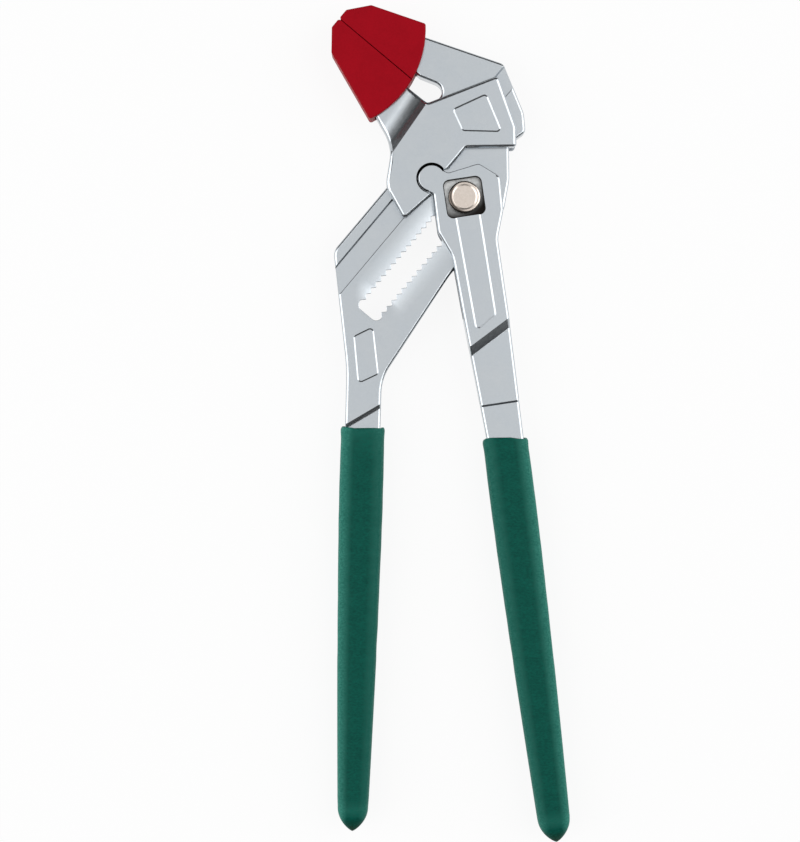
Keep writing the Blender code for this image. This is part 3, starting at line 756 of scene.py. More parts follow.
# Hand-dipped vinyl: a soft green skin, flecked all over, with painted light on its flanks, a painted sheen at
# the mouth and the tip's shoulder, and painted shade over the tip
DIPPED_VINYL = Finish(
    name="hand dipped vinyl", slot="dipped_vinyl", colour="06574A", mottle="034037",
    metallic=0.0, gloss=(0.42, 0.58), mottle_size=2.6, grain_size=0.6, grain_height=0.010,
    speckle=0.7, stretch=(0.65, 1.2, 1.0), specular=0.08, painted_light_colour="388778", painted_shade_colour="003322",
)
# Injection-moulded soft plastic: deep red, evenly matt with a spark-eroded mould grain
MOULDED_PLASTIC = Finish(
    name="moulded soft plastic", slot="red_soft_plastic", colour="A20A1B", mottle="940717",
    metallic=0.0, gloss=(0.40, 0.50), mottle_size=6.0, grain_size=0.5, grain_height=0.004, specular=0.05,
)


@dataclass
class FixedHandle:
    """Forging of the fixed jaw, the slotted arm and the left handle, in the slide frame."""

    rim: float = 0.0008
    tip_fillet: float = 0.0012
    throat: float = 0.0335
    throat_relief: Pair = (0.0017, 0.0052)
    throat_fillets: Pair = (0.0015, 0.0026)
    shoulder_fillet: float = 0.0010
    rail_fillet: float = 0.0045
    arm_reach: float = 0.0373
    arm_lower: float = 0.0115
    arm_bends: tuple[Pair, ...] = ((-0.0204, 0.0300), (0.0049, 0.0050))
    lower_edge: tuple[Corner, ...] = (
        ((0.0129, -0.0069), 0.0120), ((0.0210, 0.0001), 0.0008), ((0.0270, -0.0014), 0.0020),
        ((0.0310, 0.0026), 0.0080), (BACK_CORNER, 0.0022),
    )
    left_bend: Pair = (0.0178, 0.0600)
    right_bend: Pair = (0.0149, 0.0150)
    handle_offset: Pair = (0.00875, -0.05306)
    handle_tilt: float = -1.5
    width: float = 0.0106
    end_width: float = 0.0065
    step: float = 0.0042
    step_angle: float = 32.0
    step_run: float = 0.0014
    step_straight: float = 0.6
    tooth_pitch: float = 0.00234
    tooth_depth: float = 0.00115
    tooth_round: float = 0.00016
    tooth_edge: float = 0.00010
    tooth_segments: int = 2
    slot_half: float = 0.0041
    slot_relief: float = 0.00025
    adjust_steps: int = 16
    spare_teeth: int = 5
    run_out: float = 0.0022
    end_round: float = 0.9
    ledge_floor: float = 0.0022
    dish_depth: float = 0.0012
    dish_half: float = 0.0094
    dish_power: float = 1.5
    dish_lift: float = 0.00002
    dish_rings: int = 20
    dish_ends: Pair = (0.0060, 0.0090)
    groove_lean: Pair = (0.00017, 0.00045)
    groove_chamfer: float = 0.00014
    panel: tuple[Pair, ...] = ((-0.0035, 0.0275), (-0.0018, 0.0131), (0.0044, 0.0162), (0.0024, 0.0306))
    panel_wall: Pair = (0.0004, 0.00027)

    def mouth(self) -> Vector:
        """Middle of the left grip's mouth, in the row frame's plane."""
        return turn(SLIDE_ANGLE) @ Vector((-self.arm_reach, RAIL_EDGE)) + Vector(self.handle_offset)

    def from_handle(self, point: Pair) -> Vector:
        """A point of the left handle's own frame, in the slide frame."""
        return turn(-SLIDE_ANGLE) @ (turn(self.handle_tilt) @ Vector(point) + self.mouth())

    def outline(self) -> list[Vector]:
        """Outer edge of the forging.

        Returns:
            Its points from the jaw's tip down the throat, round the arm and the tang, and up the back.
        """
        half = self.width / 2
        relief, relief_length = self.throat_relief
        throat_fillet, relief_fillet = self.throat_fillets
        left_place, left_fillet = self.left_bend
        right_place, right_fillet = self.right_bend
        tang = tang_corners(self.width, self.end_width, TANG_LENGTH)
        return rounded([
            ((FIXED_FACE, JAW_REACH), self.tip_fillet),
            ((FIXED_FACE, self.throat), throat_fillet),
            ((FIXED_FACE + relief, self.throat - relief_length), relief_fillet),
            ((FIXED_FACE + relief, NECK_REACH), relief_fillet),
            ((NECK_SHOULDER, NECK_REACH), self.shoulder_fillet),
            ((NECK_SHOULDER, RAIL_EDGE), self.shoulder_fillet),
            ((-self.arm_reach, RAIL_EDGE), self.rail_fillet),
            (self.from_handle((-half, left_place)), left_fillet),
            *((self.from_handle(point), fillet) for point, fillet in tang),
            (self.from_handle((half, right_place)), right_fillet),
            *(((along, -self.arm_lower), fillet) for along, fillet in self.arm_bends),
            *self.lower_edge,
            ((FIXED_FACE + FIXED_TIP_WIDTH, JAW_REACH), self.tip_fillet),
        ])

    def slot_ends(self) -> Pair:
        """First and last place of the slot's teeth along the arm."""
        end = (self.spare_teeth // 2 + 0.5) * self.tooth_pitch
        return end - (self.adjust_steps + self.spare_teeth) * self.tooth_pitch, end

    def slot_outline(self, grow: float) -> list[Corner]:
        """Plain ends of the slot, grown all round: the round upper end, then the flat lower one.

        Args:
            grow: How much wider than the toothed slot it is.

        Returns:
            Corners from the lower side of the upper end to the lower side of the lower end.
        """
        half = self.slot_half + grow
        start, end = self.slot_ends()
        low = start - self.run_out - grow
        fillet = self.run_out * self.end_round
        return [*sharp(arc((end, 0), half, -90, 90)), ((low, half), fillet), ((low, -half), fillet)]

    def toothed_slot(self) -> Shape:
        """Cutter of the toothed front part of the slot.

        Returns:
            The closed cutter, with a row of teeth on each side.
        """
        start, _ = self.slot_ends()
        crest = self.slot_half - self.tooth_depth
        lower = []
        for tooth in range(self.adjust_steps + self.spare_teeth):
            root = start + tooth * self.tooth_pitch
            lower.append(((root, -self.slot_half), self.tooth_round))
            lower.append(((root + self.tooth_pitch / 2, -crest), self.tooth_round))
        upper = [((x, -y), radius) for (x, y), radius in reversed(lower)]
        ends = self.slot_outline(0)
        outline = rounded(lower + ends[:-2] + upper + ends[-2:])
        return slab(outline, self.ledge_floor - self.slot_relief, 2 * HALF_ARM)

    def plain_slot(self) -> Shape:
        """Cutter of the wider slot behind the teeth."""
        return slab(rounded(self.slot_outline(self.slot_relief)), -2 * HALF_ARM, self.ledge_floor)

    def dish(self) -> Shape:
        """Cutter of the hollow that falls towards the slot on the front.

        Returns:
            The closed cutter: a bowl drawn out along the slot.
        """
        start, end = self.slot_ends()
        bowl = []
        for ring in range(self.dish_rings + 1):
            part = ring / self.dish_rings
            drop = self.dish_depth * (1 - part) ** self.dish_power
            bowl.append((self.dish_half * part, HALF_ARM + self.dish_lift - drop))
        shape = lathe(bowl + [(self.dish_half, 2 * HALF_ARM), (0, 2 * HALF_ARM)])
        far = [vert for vert in shape.verts if vert.co.x > WELD]
        low = start + self.dish_ends[0]
        bmesh.ops.translate(shape, vec=(end - self.dish_ends[1] - low, 0, 0), verts=far)
        bmesh.ops.translate(shape, vec=(low, 0, 0), verts=shape.verts)
        return shape

    def break_teeth(self, shape: Shape) -> None:
        """Round the front edge of the toothed slot.

        Args:
            shape: The forging to change.
        """
        start, end = self.slot_ends()
        low = start - self.run_out - WELD
        high = end + self.slot_half + WELD
        edges = []
        for edge in shape.edges:
            middle = (edge.verts[0].co + edge.verts[1].co) / 2
            walls = sum(abs(face.normal.z) < UPRIGHT for face in edge.link_faces)
            within = low < middle.x < high and abs(middle.y) < self.slot_half + WELD
            if within and walls == 1 and middle.z > self.ledge_floor:
                edges.append(edge)
        bmesh.ops.bevel(
            shape, geom=edges, offset=self.tooth_edge, offset_type="OFFSET", segments=self.tooth_segments,
            profile=0.5, affect="EDGES", clamp_overlap=False, material=-1,
        )

    def groove(self) -> Shape:
        """Cutter of the guide groove in the front face.

        Returns:
            The closed cutter, with leaning walls and a fine chamfer along the lower one.
        """
        floor = HALF_ARM - GROOVE_DEPTH
        low = GROOVE[0] - self.groove_lean[0]
        high = GROOVE[1] + self.groove_lean[1]
        return run_along([
            (GROOVE[0], floor), (GROOVE[1], floor), (high, HALF_ARM), (high, 2 * HALF_ARM),
            (low, 2 * HALF_ARM), (low, HALF_ARM), (GROOVE[0], HALF_ARM - self.groove_chamfer),
        ])

    def handle_panel(self) -> Shape:
        """Cutter of the recessed panel above the left grip."""
        return panel_cutter([self.from_handle(point) for point in self.panel], HALF_ARM, self.panel_wall)

    def handle_step(self) -> Shape:
        """Cutter of the fall from the arm to the tang."""
        place, angle = self.from_handle((0, self.step)), self.handle_tilt - SLIDE_ANGLE + self.step_angle
        return hollow_step(place, angle, (HALF_ARM, HALF_TANG), self.step_run, self.step_straight)

    def build(self) -> None:
        """Make and dress the forging."""
        shape = cut(slab(self.outline(), -HALF_ARM, HALF_ARM), both_faces(self.handle_step))
        mark_rims(shape, full_rim)
        shape = cut(shape, [
            *both_faces(self.groove), self.dish(), self.handle_panel(),
            self.toothed_slot(), self.plain_slot(),
        ], self.rim)
        self.break_teeth(shape)
        piece = finish_piece("slotted_handle", shape, placed(SLIDE_ANGLE), Body.FIXED, BLASTED_CHROME)
        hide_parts("fixed_handle")


@dataclass
class SlidingJaw:
    """Forging of the sliding jaw with its two cheeks, in the slide frame."""

    rim: float = 0.0010
    fillet: float = 0.0011
    heel: Corner = ((-0.0167, 0.0095), 0.0012)
    cheek_lower: float = 0.00905
    cheek_end: float = 0.0117
    lower_edge: tuple[Corner, ...] = (
        ((0.0215, -0.0023), 0.0011), ((0.0260, 0.0016), 0.0040), ((0.0343, 0.0157), 0.0012),
    )
    step_reach: float = 0.0262
    tip_fillet: float = 0.0025
    waist_fillet: float = 0.0140
    belly: Corner = ((-0.0126, 0.0202), 0.0070)
    band_reach: float = 0.0253
    band_angle: float = 5.2
    band: Pair = (0.0017, 0.0027)
    band_slopes: Pair = (0.87, 0.37)
    notch_gap: float = 0.0007
    notch_lean: float = 0.13
    notch_reach: float = 0.0012
    notch_sweep: Pair = (-12.0, 190.0)
    lip_drop: float = 0.0012
    panel: tuple[Pair, ...] = ((0.0178, 0.0197), (0.0147, 0.0131), (0.0222, 0.0037), (0.0280, 0.0149))
    panel_wall: Pair = (0.00045, 0.0003)

    def notch(self) -> tuple[Vector, float]:
        """Middle and radius of the notch that takes the lever's nose."""
        return turn(LEVER_TILT - SLIDE_ANGLE) @ Vector(NOSE), NOSE_RADIUS + self.notch_gap

    def outline(self) -> list[Vector]:
        """Outer edge, straight across the notch.

        Returns:
            Its points from the heel along the lower edge, up the jaw's face and down its back.
        """
        nose, _ = self.notch()
        return rounded([
            self.heel,
            ((nose.x - NOSE_RADIUS, self.cheek_lower - self.lip_drop), self.fillet),
            ((nose.x - self.notch_gap, self.cheek_lower), 0),
            ((self.cheek_end, self.cheek_lower), self.fillet),
            *self.lower_edge,
            ((SLIDING_FACE, self.step_reach + RUN_GAP), self.fillet),
            ((SLIDING_FACE, JAW_REACH), self.fillet),
            ((SLIDING_FACE - SLIDING_TIP_WIDTH, JAW_REACH), self.tip_fillet),
            (WAIST, self.waist_fillet),
            self.belly,
        ])

    def band_cutter(self) -> Shape:
        """Cutter that lowers one cheek to the jaw, down a slope that eases into a long shallow foot.

        Returns:
            The closed cutter.
        """
        steep, shallow = self.band_slopes
        start, turn_end = self.band
        fall = start * steep + (turn_end - start) * (steep + shallow) / 2
        end = turn_end + 2 * (OUTER_FACE - HALF_ARM - fall) / shallow
        section = [Vector((0, OUTER_FACE))]
        stretches = (
            (start, steep, steep, 1), (turn_end, steep, shallow, BAND_STEPS), (end, shallow, 0, BAND_STEPS),
        )
        for stop, first, last, steps in stretches:
            corner = section[-1].copy()
            run = stop + corner.x
            for step in range(1, steps + 1):
                part = step / steps
                drop = run * part * (first + (last - first) * part / 2)
                section.append(corner - Vector((run * part, drop)))
        beyond = [(-FAR, HALF_ARM), (-FAR, 2 * OUTER_FACE), (0, 2 * OUTER_FACE)]
        return run_along([*section, *beyond], (0, self.band_reach), 180 + self.band_angle)

    def notch_cutter(self) -> Shape:
        """Cutter of one cheek's notch, which narrows downwards, with the way that the nose comes in by.

        Returns:
            The closed cutter.
        """
        nose, notch = self.notch()
        lip = self.cheek_lower - self.lip_drop
        way = rounded([
            ((nose.x + notch + self.notch_reach, lip - notch), 0),
            ((nose.x + notch + self.notch_reach, self.cheek_lower), 0),
            *sharp(arc(nose, notch, *self.notch_sweep)),
            ((nose.x - NOSE_RADIUS, lip - notch), 0),
        ])
        shape = slab(way, 0, 2 * OUTER_FACE)
        for vert in shape.verts:
            away = vert.co.xy - nose
            if away.length < notch + WELD:
                vert.co.xy = nose + away * (1 + self.notch_lean * (vert.co.z - OUTER_FACE) / notch)
        return shape

    def in_notch(self, face: Face) -> bool:
        """Whether a face is part of the notch's wall."""
        nose, reach = self.notch()
        return abs(face.normal.z) < WALL_SLOPE and (face.calc_center_median().xy - nose).length < reach + WELD

    def arm_way(self) -> Shape:
        """Cutter that lets the arm through and leaves the ribs that run in its grooves.

        Returns:
            The closed cutter.
        """
        rib = INNER_FACE - GROOVE_DEPTH
        low = GROOVE[0] + RUN_GAP
        high = GROOVE[1] - RUN_GAP
        front = [
            (-FAR, INNER_FACE), (low, INNER_FACE), (low, rib), (high, rib), (high, INNER_FACE),
            (RAIL_EDGE + RUN_GAP, INNER_FACE),
        ]
        return run_along(front + [(across, -up) for across, up in reversed(front)])

    def neck_way(self) -> Shape:
        """Cutter that clears the fixed jaw's neck between the cheeks."""
        corners = rectangle((NECK_SHOULDER - 2 * RUN_GAP, -FAR), (FAR, NECK_REACH + RUN_GAP))
        return slab(corners, -INNER_FACE, INNER_FACE)

    def panel_recess(self) -> Shape:
        """Cutter of the panel in the front cheek."""
        return panel_cutter(self.panel, OUTER_FACE, self.panel_wall)

    def build(self) -> None:
        """Make and dress the forging."""
        shape = cut(slab(self.outline(), -OUTER_FACE, OUTER_FACE), both_faces(self.band_cutter))
        mark_rims(shape, full_rim)
        shape = cut(shape, [
            *both_faces(self.panel_recess), *both_faces(self.notch_cutter), self.arm_way(), self.neck_way(),
        ], self.rim)
        for vert in shape.verts:
            vert.co.z = max(-OUTER_FACE, min(OUTER_FACE, vert.co.z))
        # The notch's wall gets a painted dark line of shade
        piece = finish_piece(
            "cheeked_jaw", shape, placed(SLIDE_ANGLE), Body.JAW, BLASTED_CHROME, {SHADED_EDGE: self.in_notch}
        )
        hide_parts("sliding_jaw")


@dataclass
class LeverHandle:
    """Forging of the forked lever with its nose and button window, in the lever's own frame."""

    rim: float = 0.0008
    head_rim: float = 0.00025
    head_side: float = 0.0103
    head_left: float = -0.0080
    head_low: float = -0.0020
    band: float = 0.0026
    band_straight: float = 0.85
    tang_run: float = 0.0006
    nose_sweep: Pair = (27.0, 250.0)
    chin: Corner = ((-0.0091, 0.0020), 0.0008)
    left_edge: tuple[Corner, ...] = (
        ((-0.0093, -0.0093), 0.0050), ((-0.0061, -0.0172), 0.0100), ((-0.0057, -0.0310), 0.0600),
    )
    right_edge: tuple[Corner, ...] = (
        ((0.0080, -0.0380), 0.0600), ((0.0081, -0.0136), 0.0080), ((0.0110, -0.0055), 0.0040),
    )
    shoulder: Corner = ((0.0115, 0.0045), 0.0015)
    crown: tuple[Corner, ...] = (((0.0057, 0.0093), 0.0015), ((-0.0036, 0.0079), 0.0012))
    crown_slope: float = 0.83
    crotch: float = 0.0232
    half_shank: float = 0.0050
    step_place: Pair = (0.0018, -0.0408)
    step_angle: float = 28.4
    mouth: Pair = (0.0016, -0.0730)
    grip_tilt: float = -1.2
    tang_step: float = 0.0108
    tang_length: float = 0.1132
    width: float = 0.0110
    end_width: float = 0.0070
    window: float = 0.0112
    window_corner: float = 0.0020
    window_depth: float = 0.0020
    window_chamfer: float = 0.00025
    stem_hole: float = 0.00295
    journal_hole: float = 0.0053
    flange_hole: float = 0.0065
    flange_floor: float = -0.0055
    panel: tuple[Pair, ...] = ((-0.0036, -0.0046), (-0.0025, -0.0403), (0.0043, -0.0361), (0.0040, -0.0046))
    panel_wall: Pair = (0.0005, 0.00013)

    def from_grip(self, point: Pair) -> Vector:
        """A point of the right grip's frame, in the lever's frame."""
        return turn(self.grip_tilt) @ Vector(point) + Vector(self.mouth)

    def nose_corners(self) -> list[Corner]:
        """Outer side of the round nose."""
        return sharp(arc(NOSE, NOSE_RADIUS, *self.nose_sweep))

    def outline(self) -> list[Vector]:
        """Outer edge with the round nose and the tapered tang.

        Returns:
            Its points from the nose down the left side, round the tang and up the right side.
        """
        tang = tang_corners(self.width, self.end_width, self.tang_length)
        return rounded([
            *self.nose_corners(), self.chin, *self.left_edge,
            *((self.from_grip(point), fillet) for point, fillet in tang),
            *self.right_edge, self.shoulder, *self.crown,
        ])

    def head_outline(self) -> list[Vector]:
        """Edge of the head, which stands up to the nose and the crown with narrow rims.

        Returns:
            Its points from the nose down, across the forging and back along the crown.
        """
        (side, height), _ = self.shoulder
        return rounded([
            *self.nose_corners(),
            ((self.head_left, self.chin[0][1]), 0),
            ((self.head_left, self.head_low), 0),
            ((self.head_side, self.head_low), 0),
            ((self.head_side, height + self.crown_slope * (side - self.head_side)), 0),
            *self.crown,
        ])

    def head_share(self, middle: Vector, wall: Vector) -> float:
        """Only the head's outer edges are rounded, not those inside the forging."""
        inside = middle.y < NOSE[1] - NOSE_RADIUS or middle.x > self.head_side - WELD
        return 0.0 if inside else 1.0

    def in_window(self, face: Face) -> bool:
        """Whether a face lies in the button's window.

        Args:
            face: A face of the lever, in its own frame.

        Returns:
            True for the window's floor, walls and chamfer.
        """
        middle = face.calc_center_median()
        reach = self.window / 2 + self.window_chamfer
        deep = OUTER_FACE - WELD > middle.z > OUTER_FACE - self.window_depth - WELD
        return deep and max(abs(middle.x), abs(middle.y)) < reach

    def is_shaded_edge(self, face: Face) -> bool:
        """Whether a face is one of the window's walls, of the chamfer above them, or of the nose's wall,
        which get painted shade.

        Args:
            face: A face of the lever, in its own frame.

        Returns:
            True for these walls.
        """
        away = (face.calc_center_median().xy - Vector(NOSE)).length
        nose = abs(face.normal.z) < UPRIGHT and away < NOSE_RADIUS + WELD
        return nose or self.in_window(face) and abs(face.normal.z) < WALL_SLOPE

    def window_cutter(self) -> Shape:
        """Cutter of the button's window, with a fine chamfer at its edge.

        Returns:
            The closed cutter.
        """
        half = self.window / 2 + self.window_chamfer
        straight = OUTER_FACE - self.window_chamfer
        return pocket(rectangle((-half, -half), (half, half)), self.window_corner, [
            (self.window_chamfer, OUTER_FACE - self.window_depth), (self.window_chamfer, straight),
            (0, OUTER_FACE), (0, 2 * OUTER_FACE),
        ])

    def shank_step(self) -> Shape:
        """Cutter of the fall from the head to the shank."""
        drop = (OUTER_FACE, self.half_shank)
        return hollow_step(self.step_place, self.step_angle, drop, self.band, self.band_straight)

    def tang_fall(self) -> Shape:
        """Cutter of the short fall from the shank to the tang."""
        place = (self.mouth[0], self.mouth[1] + self.tang_step)
        return hollow_step(place, 0, (self.half_shank, HALF_TANG), self.tang_run, self.band_straight)

    def panel_recess(self) -> Shape:
        """Cutter of the long panel in the front face."""
        return panel_cutter(self.panel, OUTER_FACE, self.panel_wall)

    def fork_way(self) -> Shape:
        """Cutter of the gap that the arm runs through."""
        corners = rectangle((-FAR, -self.crotch), (FAR, FAR))
        return slab([turn(SLIDE_ANGLE - LEVER_TILT) @ corner for corner in corners], -INNER_FACE, INNER_FACE)

    def build(self) -> None:
        """Make and dress the forging."""
        shape = slab(self.outline(), -OUTER_FACE, OUTER_FACE)
        shape = cut(shape, both_faces(self.shank_step, self.tang_fall))
        mark_rims(shape, full_rim)
        head = slab(self.head_outline(), -OUTER_FACE, OUTER_FACE)
        mark_rims(head, self.head_share)
        head = cut(head, [], self.head_rim)
        shape = cut(shape, [
            self.fork_way(), *both_faces(self.panel_recess), self.window_cutter(),
            cylinder(self.stem_hole, 0, 2 * OUTER_FACE), cylinder(self.journal_hole, -2 * OUTER_FACE, 0),
            cylinder(self.flange_hole, -2 * OUTER_FACE, self.flange_floor),
        ], self.rim, [head])
        # The window's floor gets painted shade towards its lower right, and the window's and the nose's walls
        # get a painted dark line of shade
        piece = finish_piece(
            "forked_lever", shape, placed(LEVER_TILT), Body.LEVER, BLASTED_CHROME,
            {SHADED_RECESS: self.in_window, SHADED_EDGE: self.is_shaded_edge},
        )
        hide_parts("lever_handle")


@dataclass
class PivotLock:
    """Push button, pivot bolt and the inner pieces of the lock, on the pivot axis."""

    button_radius: float = 0.0048
    button_low: float = 0.00695
    button_top: float = 0.00835
    button_round: float = 0.0006
    button_dish: float = 0.00012
    button_hollow: Pair = (0.92, 0.80)
    socket: float = 0.00295
    socket_top: float = 0.00775
    flange_radius: float = 0.0062
    flange_top: float = -0.0058
    journal_radius: float = 0.0050
    journal_top: float = -0.00415
    shaft_radius: float = 0.00125
    shaft_top: float = 0.0057
    edge: float = 0.0003
    spring_radius: float = 0.0021
    spring_wire: float = 0.0006
    spring_turns: int = 4
    spring_ends: Pair = (-0.00355, 0.0006)
    spring_keep: float = 0.65
    wire_sides: int = 12

    def button(self) -> None:
        """Round button with a soft edge and a faintly hollow top."""
        flat = self.button_radius - self.button_round
        rim = arc((flat, self.button_top - self.button_round), self.button_round, 0, 90)
        edge, foot = self.button_hollow
        floor = self.button_top - self.button_dish
        shape = lathe([
            (0, self.socket_top), (self.socket, self.socket_top), (self.socket, self.button_low),
            (self.button_radius, self.button_low), *rim, (flat * edge, self.button_top), (flat * foot, floor),
            (0, floor),
        ])
        piece = finish_piece("round_button", shape, placed(0), Body.BUTTON, TURNED_NICKEL)
        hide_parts("push_button")

    def bolt(self) -> None:
        """Flanged journal and its slim shaft."""
        rim = arc((self.flange_radius - self.edge, self.edge - OUTER_FACE), self.edge, -90, 0)
        shape = lathe([
            (0, -OUTER_FACE), *rim, (self.flange_radius, self.flange_top),
            (self.journal_radius, self.flange_top), (self.journal_radius, self.journal_top),
            (self.shaft_radius, self.journal_top), (self.shaft_radius, self.shaft_top - self.edge),
            (self.shaft_radius - self.edge, self.shaft_top), (0, self.shaft_top),
        ])
        piece = finish_piece("flanged_bolt", shape, placed(0), Body.PIVOT, TURNED_NICKEL)
        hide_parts("pivot_bolt")

    def spring(self) -> None:
        """Coil of round wire."""
        low, high = self.spring_ends
        steps = self.spring_turns * LATHE_STEPS // 2
        shape = bmesh.new()
        bmesh.ops.create_circle(shape, segments=self.wire_sides, radius=self.spring_wire / 2)
        stand = Matrix.Translation((self.spring_radius, 0, low)) @ Matrix.Rotation(math.pi / 2, 4, "X")
        bmesh.ops.transform(shape, matrix=stand, verts=shape.verts)
        bmesh.ops.spin(
            shape, geom=[*shape.verts, *shape.edges], cent=(0, 0, 0), axis=(0, 0, 1),
            angle=math.tau * self.spring_turns, steps=steps, dvec=(0, 0, (high - low) / steps),
        )
        bmesh.ops.holes_fill(shape, edges=[edge for edge in shape.edges if edge.is_boundary])
        bmesh.ops.recalc_face_normals(shape, faces=shape.faces)
        piece = finish_piece("coil_spring", shape, placed(0), Body.PIVOT, DRAWN_WIRE, crease=SOFT_ANGLE)
        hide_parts("return_spring")
        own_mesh(piece)

    def build(self) -> None:
        """Make the button, the bolt and the spring, and dress the two solids that stay."""
        self.button()
        self.bolt()
        self.spring()
        inner = {"lock_plunger": TURNED_NICKEL, "retaining_ring": DRAWN_WIRE}
        for name, finish in inner.items():
            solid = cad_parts[name]
            for slot in solid.material_slots:
                slot.material = finish.material()
            LOG.info("%s: solid kept, dressed in %s", name, finish.name)


@dataclass
class Grip:
    """Dipped sleeve over one handle's tang, in the grip's own frame with its mouth at the origin."""

    name: str
    node: str
    body: Body
    place: Matrix
    width: float
    end_width: float
    length: float
    seed: float
    wall: float = 0.00140
    shoulder: float = 0.0020
    nose: float = 0.0074
    nose_start: float = 2.0
    nose_end: float = 0.80
    swell: float = 0.0005
    lip: float = 0.0011
    mouth_square: float = 1.5
    bead: float = 0.00025
    bead_length: float = 0.0016
    bead_fade: float = 8.0
    wave: float = 0.00030
    wave_reach: float = 0.006
    wave_lobes: tuple[tuple[int, int, float], ...] = ((2, 1, 1.0), (5, 2, 0.5))
    unevenness: float = 0.00006
    bump_scale: float = 160.0
    power: float = 2.7
    bore_power: float = 8.0
    flank_light_start: float = 0.40
    flank_light: Pair = (1.0, 0.4)
    tip_shade_start: float = 0.0048
    tip_shade_length: float = 0.0040
    shoulder_sheen: float = 0.2
    sheen_place: float = -0.5
    sheen_spread: float = 0.5
    mouth_sheen: float = 0.22
    mouth_fade: float = 0.0035
    mouth_rise: float = 0.00045
    mouth_slant: float = 0.0
    sides: int = 80
    lip_rings: int = 5
    rings: int = 56
    crowding: float = 1.3
    nose_rings: int = 18

    def set_ring(self, shape: Shape, verts: Ring, size: Pair, power: float, place: float) -> None:
        """Lay a ring of vertices on a rounded rectangle across the grip, with its share of painted light,
        negative for painted shade.

        Args:
            shape: The grip so far.
            verts: The ring in order round the grip.
            size: Half width and half height.
            power: Squareness of the section, where 2 is an ellipse.
            place: Distance along the grip.
        """
        for index, vert in enumerate(verts):
            angle = math.tau * (index + 0.5) / self.sides
            across = math.copysign(abs(math.cos(angle)) ** (2 / power), math.cos(angle))
            up = math.copysign(abs(math.sin(angle)) ** (2 / power), math.sin(angle))
            vert.co = (size[0] * across, place, size[1] * up)
            # Painted light on the flanks, stronger on one side; a painted sheen at the tip's shoulder,
            # painted shade over the tip and a painted sheen at the mouth
            flank = max(0.0, abs(across) - self.flank_light_start) / (1 - self.flank_light_start)
            tip_shade = (-place - self.length - self.tip_shade_start) / self.tip_shade_length
            sheen = (tip_shade - self.sheen_place) / self.sheen_spread
            lit = flank * self.flank_light[across > 0]
            lit += self.shoulder_sheen * math.exp(-sheen ** 2) - max(0.0, tip_shade)
            lit += self.mouth_sheen * math.exp(place / self.mouth_fade)
            vert[shape.verts.layers.float[PAINTED_LIGHT]] = max(-1.0, min(1.0, lit))

    def skin(self) -> Shape:
        """Closed sleeve from the end of its bore, round its mouth, to its tip.

        Returns:
            The sleeve with smooth sides and a straight mouth.
        """
        shape = bmesh.new()
        shape.verts.layers.float.new(PAINTED_LIGHT)
        bmesh.ops.create_circle(shape, cap_ends=True, segments=self.sides, radius=self.width)
        ring = list(shape.verts)
        height = HALF_TANG + self.wall
        bore = HALF_TANG + FIT_GAP
        mouth = self.width / 2 + self.wall
        end = self.end_width / 2 + self.wall
        end_bore = (self.end_width / 2 + FIT_GAP, bore)
        self.set_ring(shape, ring, end_bore, self.bore_power, -self.length - FIT_GAP)
        ring = next_ring(shape, ring)
        self.set_ring(shape, ring, (self.width / 2 + FIT_GAP, bore), self.bore_power, 0)
        for step in range(self.lip_rings + 1):
            angle = step * math.pi / 2 / self.lip_rings
            tuck = self.lip * (1 - math.sin(angle)) / 2
            ring = next_ring(shape, ring)
            drop = -self.lip * (1 - math.cos(angle))
            power = self.power + self.mouth_square * (1 - math.sin(angle))
            self.set_ring(shape, ring, (mouth - tuck, height - tuck), power, drop)
        body = self.length + self.shoulder
        for step in range(1, self.rings + 1):
            part = step / self.rings
            swell = 4 * self.swell * part * (1 - part)
            ring = next_ring(shape, ring)
            place = self.lip + (body - self.lip) * part ** self.crowding
            neck = self.bead * (1 - math.exp(-((place - self.lip) / self.bead_length) ** 2))
            neck *= math.exp(-place / (self.bead_fade * self.bead_length))
            half = mouth + (end - mouth) * place / body + swell - neck
            self.set_ring(shape, ring, (half, height), self.power, -place)
        for step in range(1, self.nose_rings):
            part = math.sin(math.pi / 2 * step / self.nose_rings)
            taper = (1 - part ** self.nose_start) ** self.nose_end
            ring = next_ring(shape, ring)
            self.set_ring(shape, ring, (end * taper, height * taper), self.power, -body - self.nose * part)
        bmesh.ops.pointmerge(shape, verts=next_ring(shape, ring), merge_co=(0, -body - self.nose, 0))
        bmesh.ops.recalc_face_normals(shape, faces=shape.faces)
        return shape

    def unsettle(self, shape: Shape) -> None:
        """Give the skin its slightly wavy mouth and the unevenness of dipping.

        Args:
            shape: The sleeve to change.
        """
        highest = sum(size for _, _, size in self.wave_lobes)
        shape.normal_update()
        moves = {}
        for vert in shape.verts:
            here = vert.co
            near = max(0.0, 1 + here.y / self.wave_reach)
            turned = math.atan2(here.z, here.x)
            wave = sum(
                size * math.sin(lobes * turned + phase * self.seed) for lobes, phase, size in self.wave_lobes
            )
            rise = self.wave * (wave - highest) + self.mouth_rise + self.mouth_slant * here.x
            moves[vert] = Vector((0, rise * near, 0))
            outside = max(abs(here.x) - self.width / 2, abs(here.z) - HALF_TANG) > 2 * FIT_GAP
            if outside or here.y < -self.length - self.shoulder:
                bumps = noise.noise(here * self.bump_scale + Vector((self.seed, 0, 0)))
                moves[vert] += vert.normal * (self.unevenness * bumps - self.unevenness)
        for vert, move in moves.items():
            vert.co += move

    def build(self) -> None:
        """Make and dress the sleeve."""
        shape = self.skin()
        self.unsettle(shape)
        piece = finish_piece(self.name, shape, self.place, self.body, DIPPED_VINYL, crease=SOFT_ANGLE)
        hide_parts(self.node)


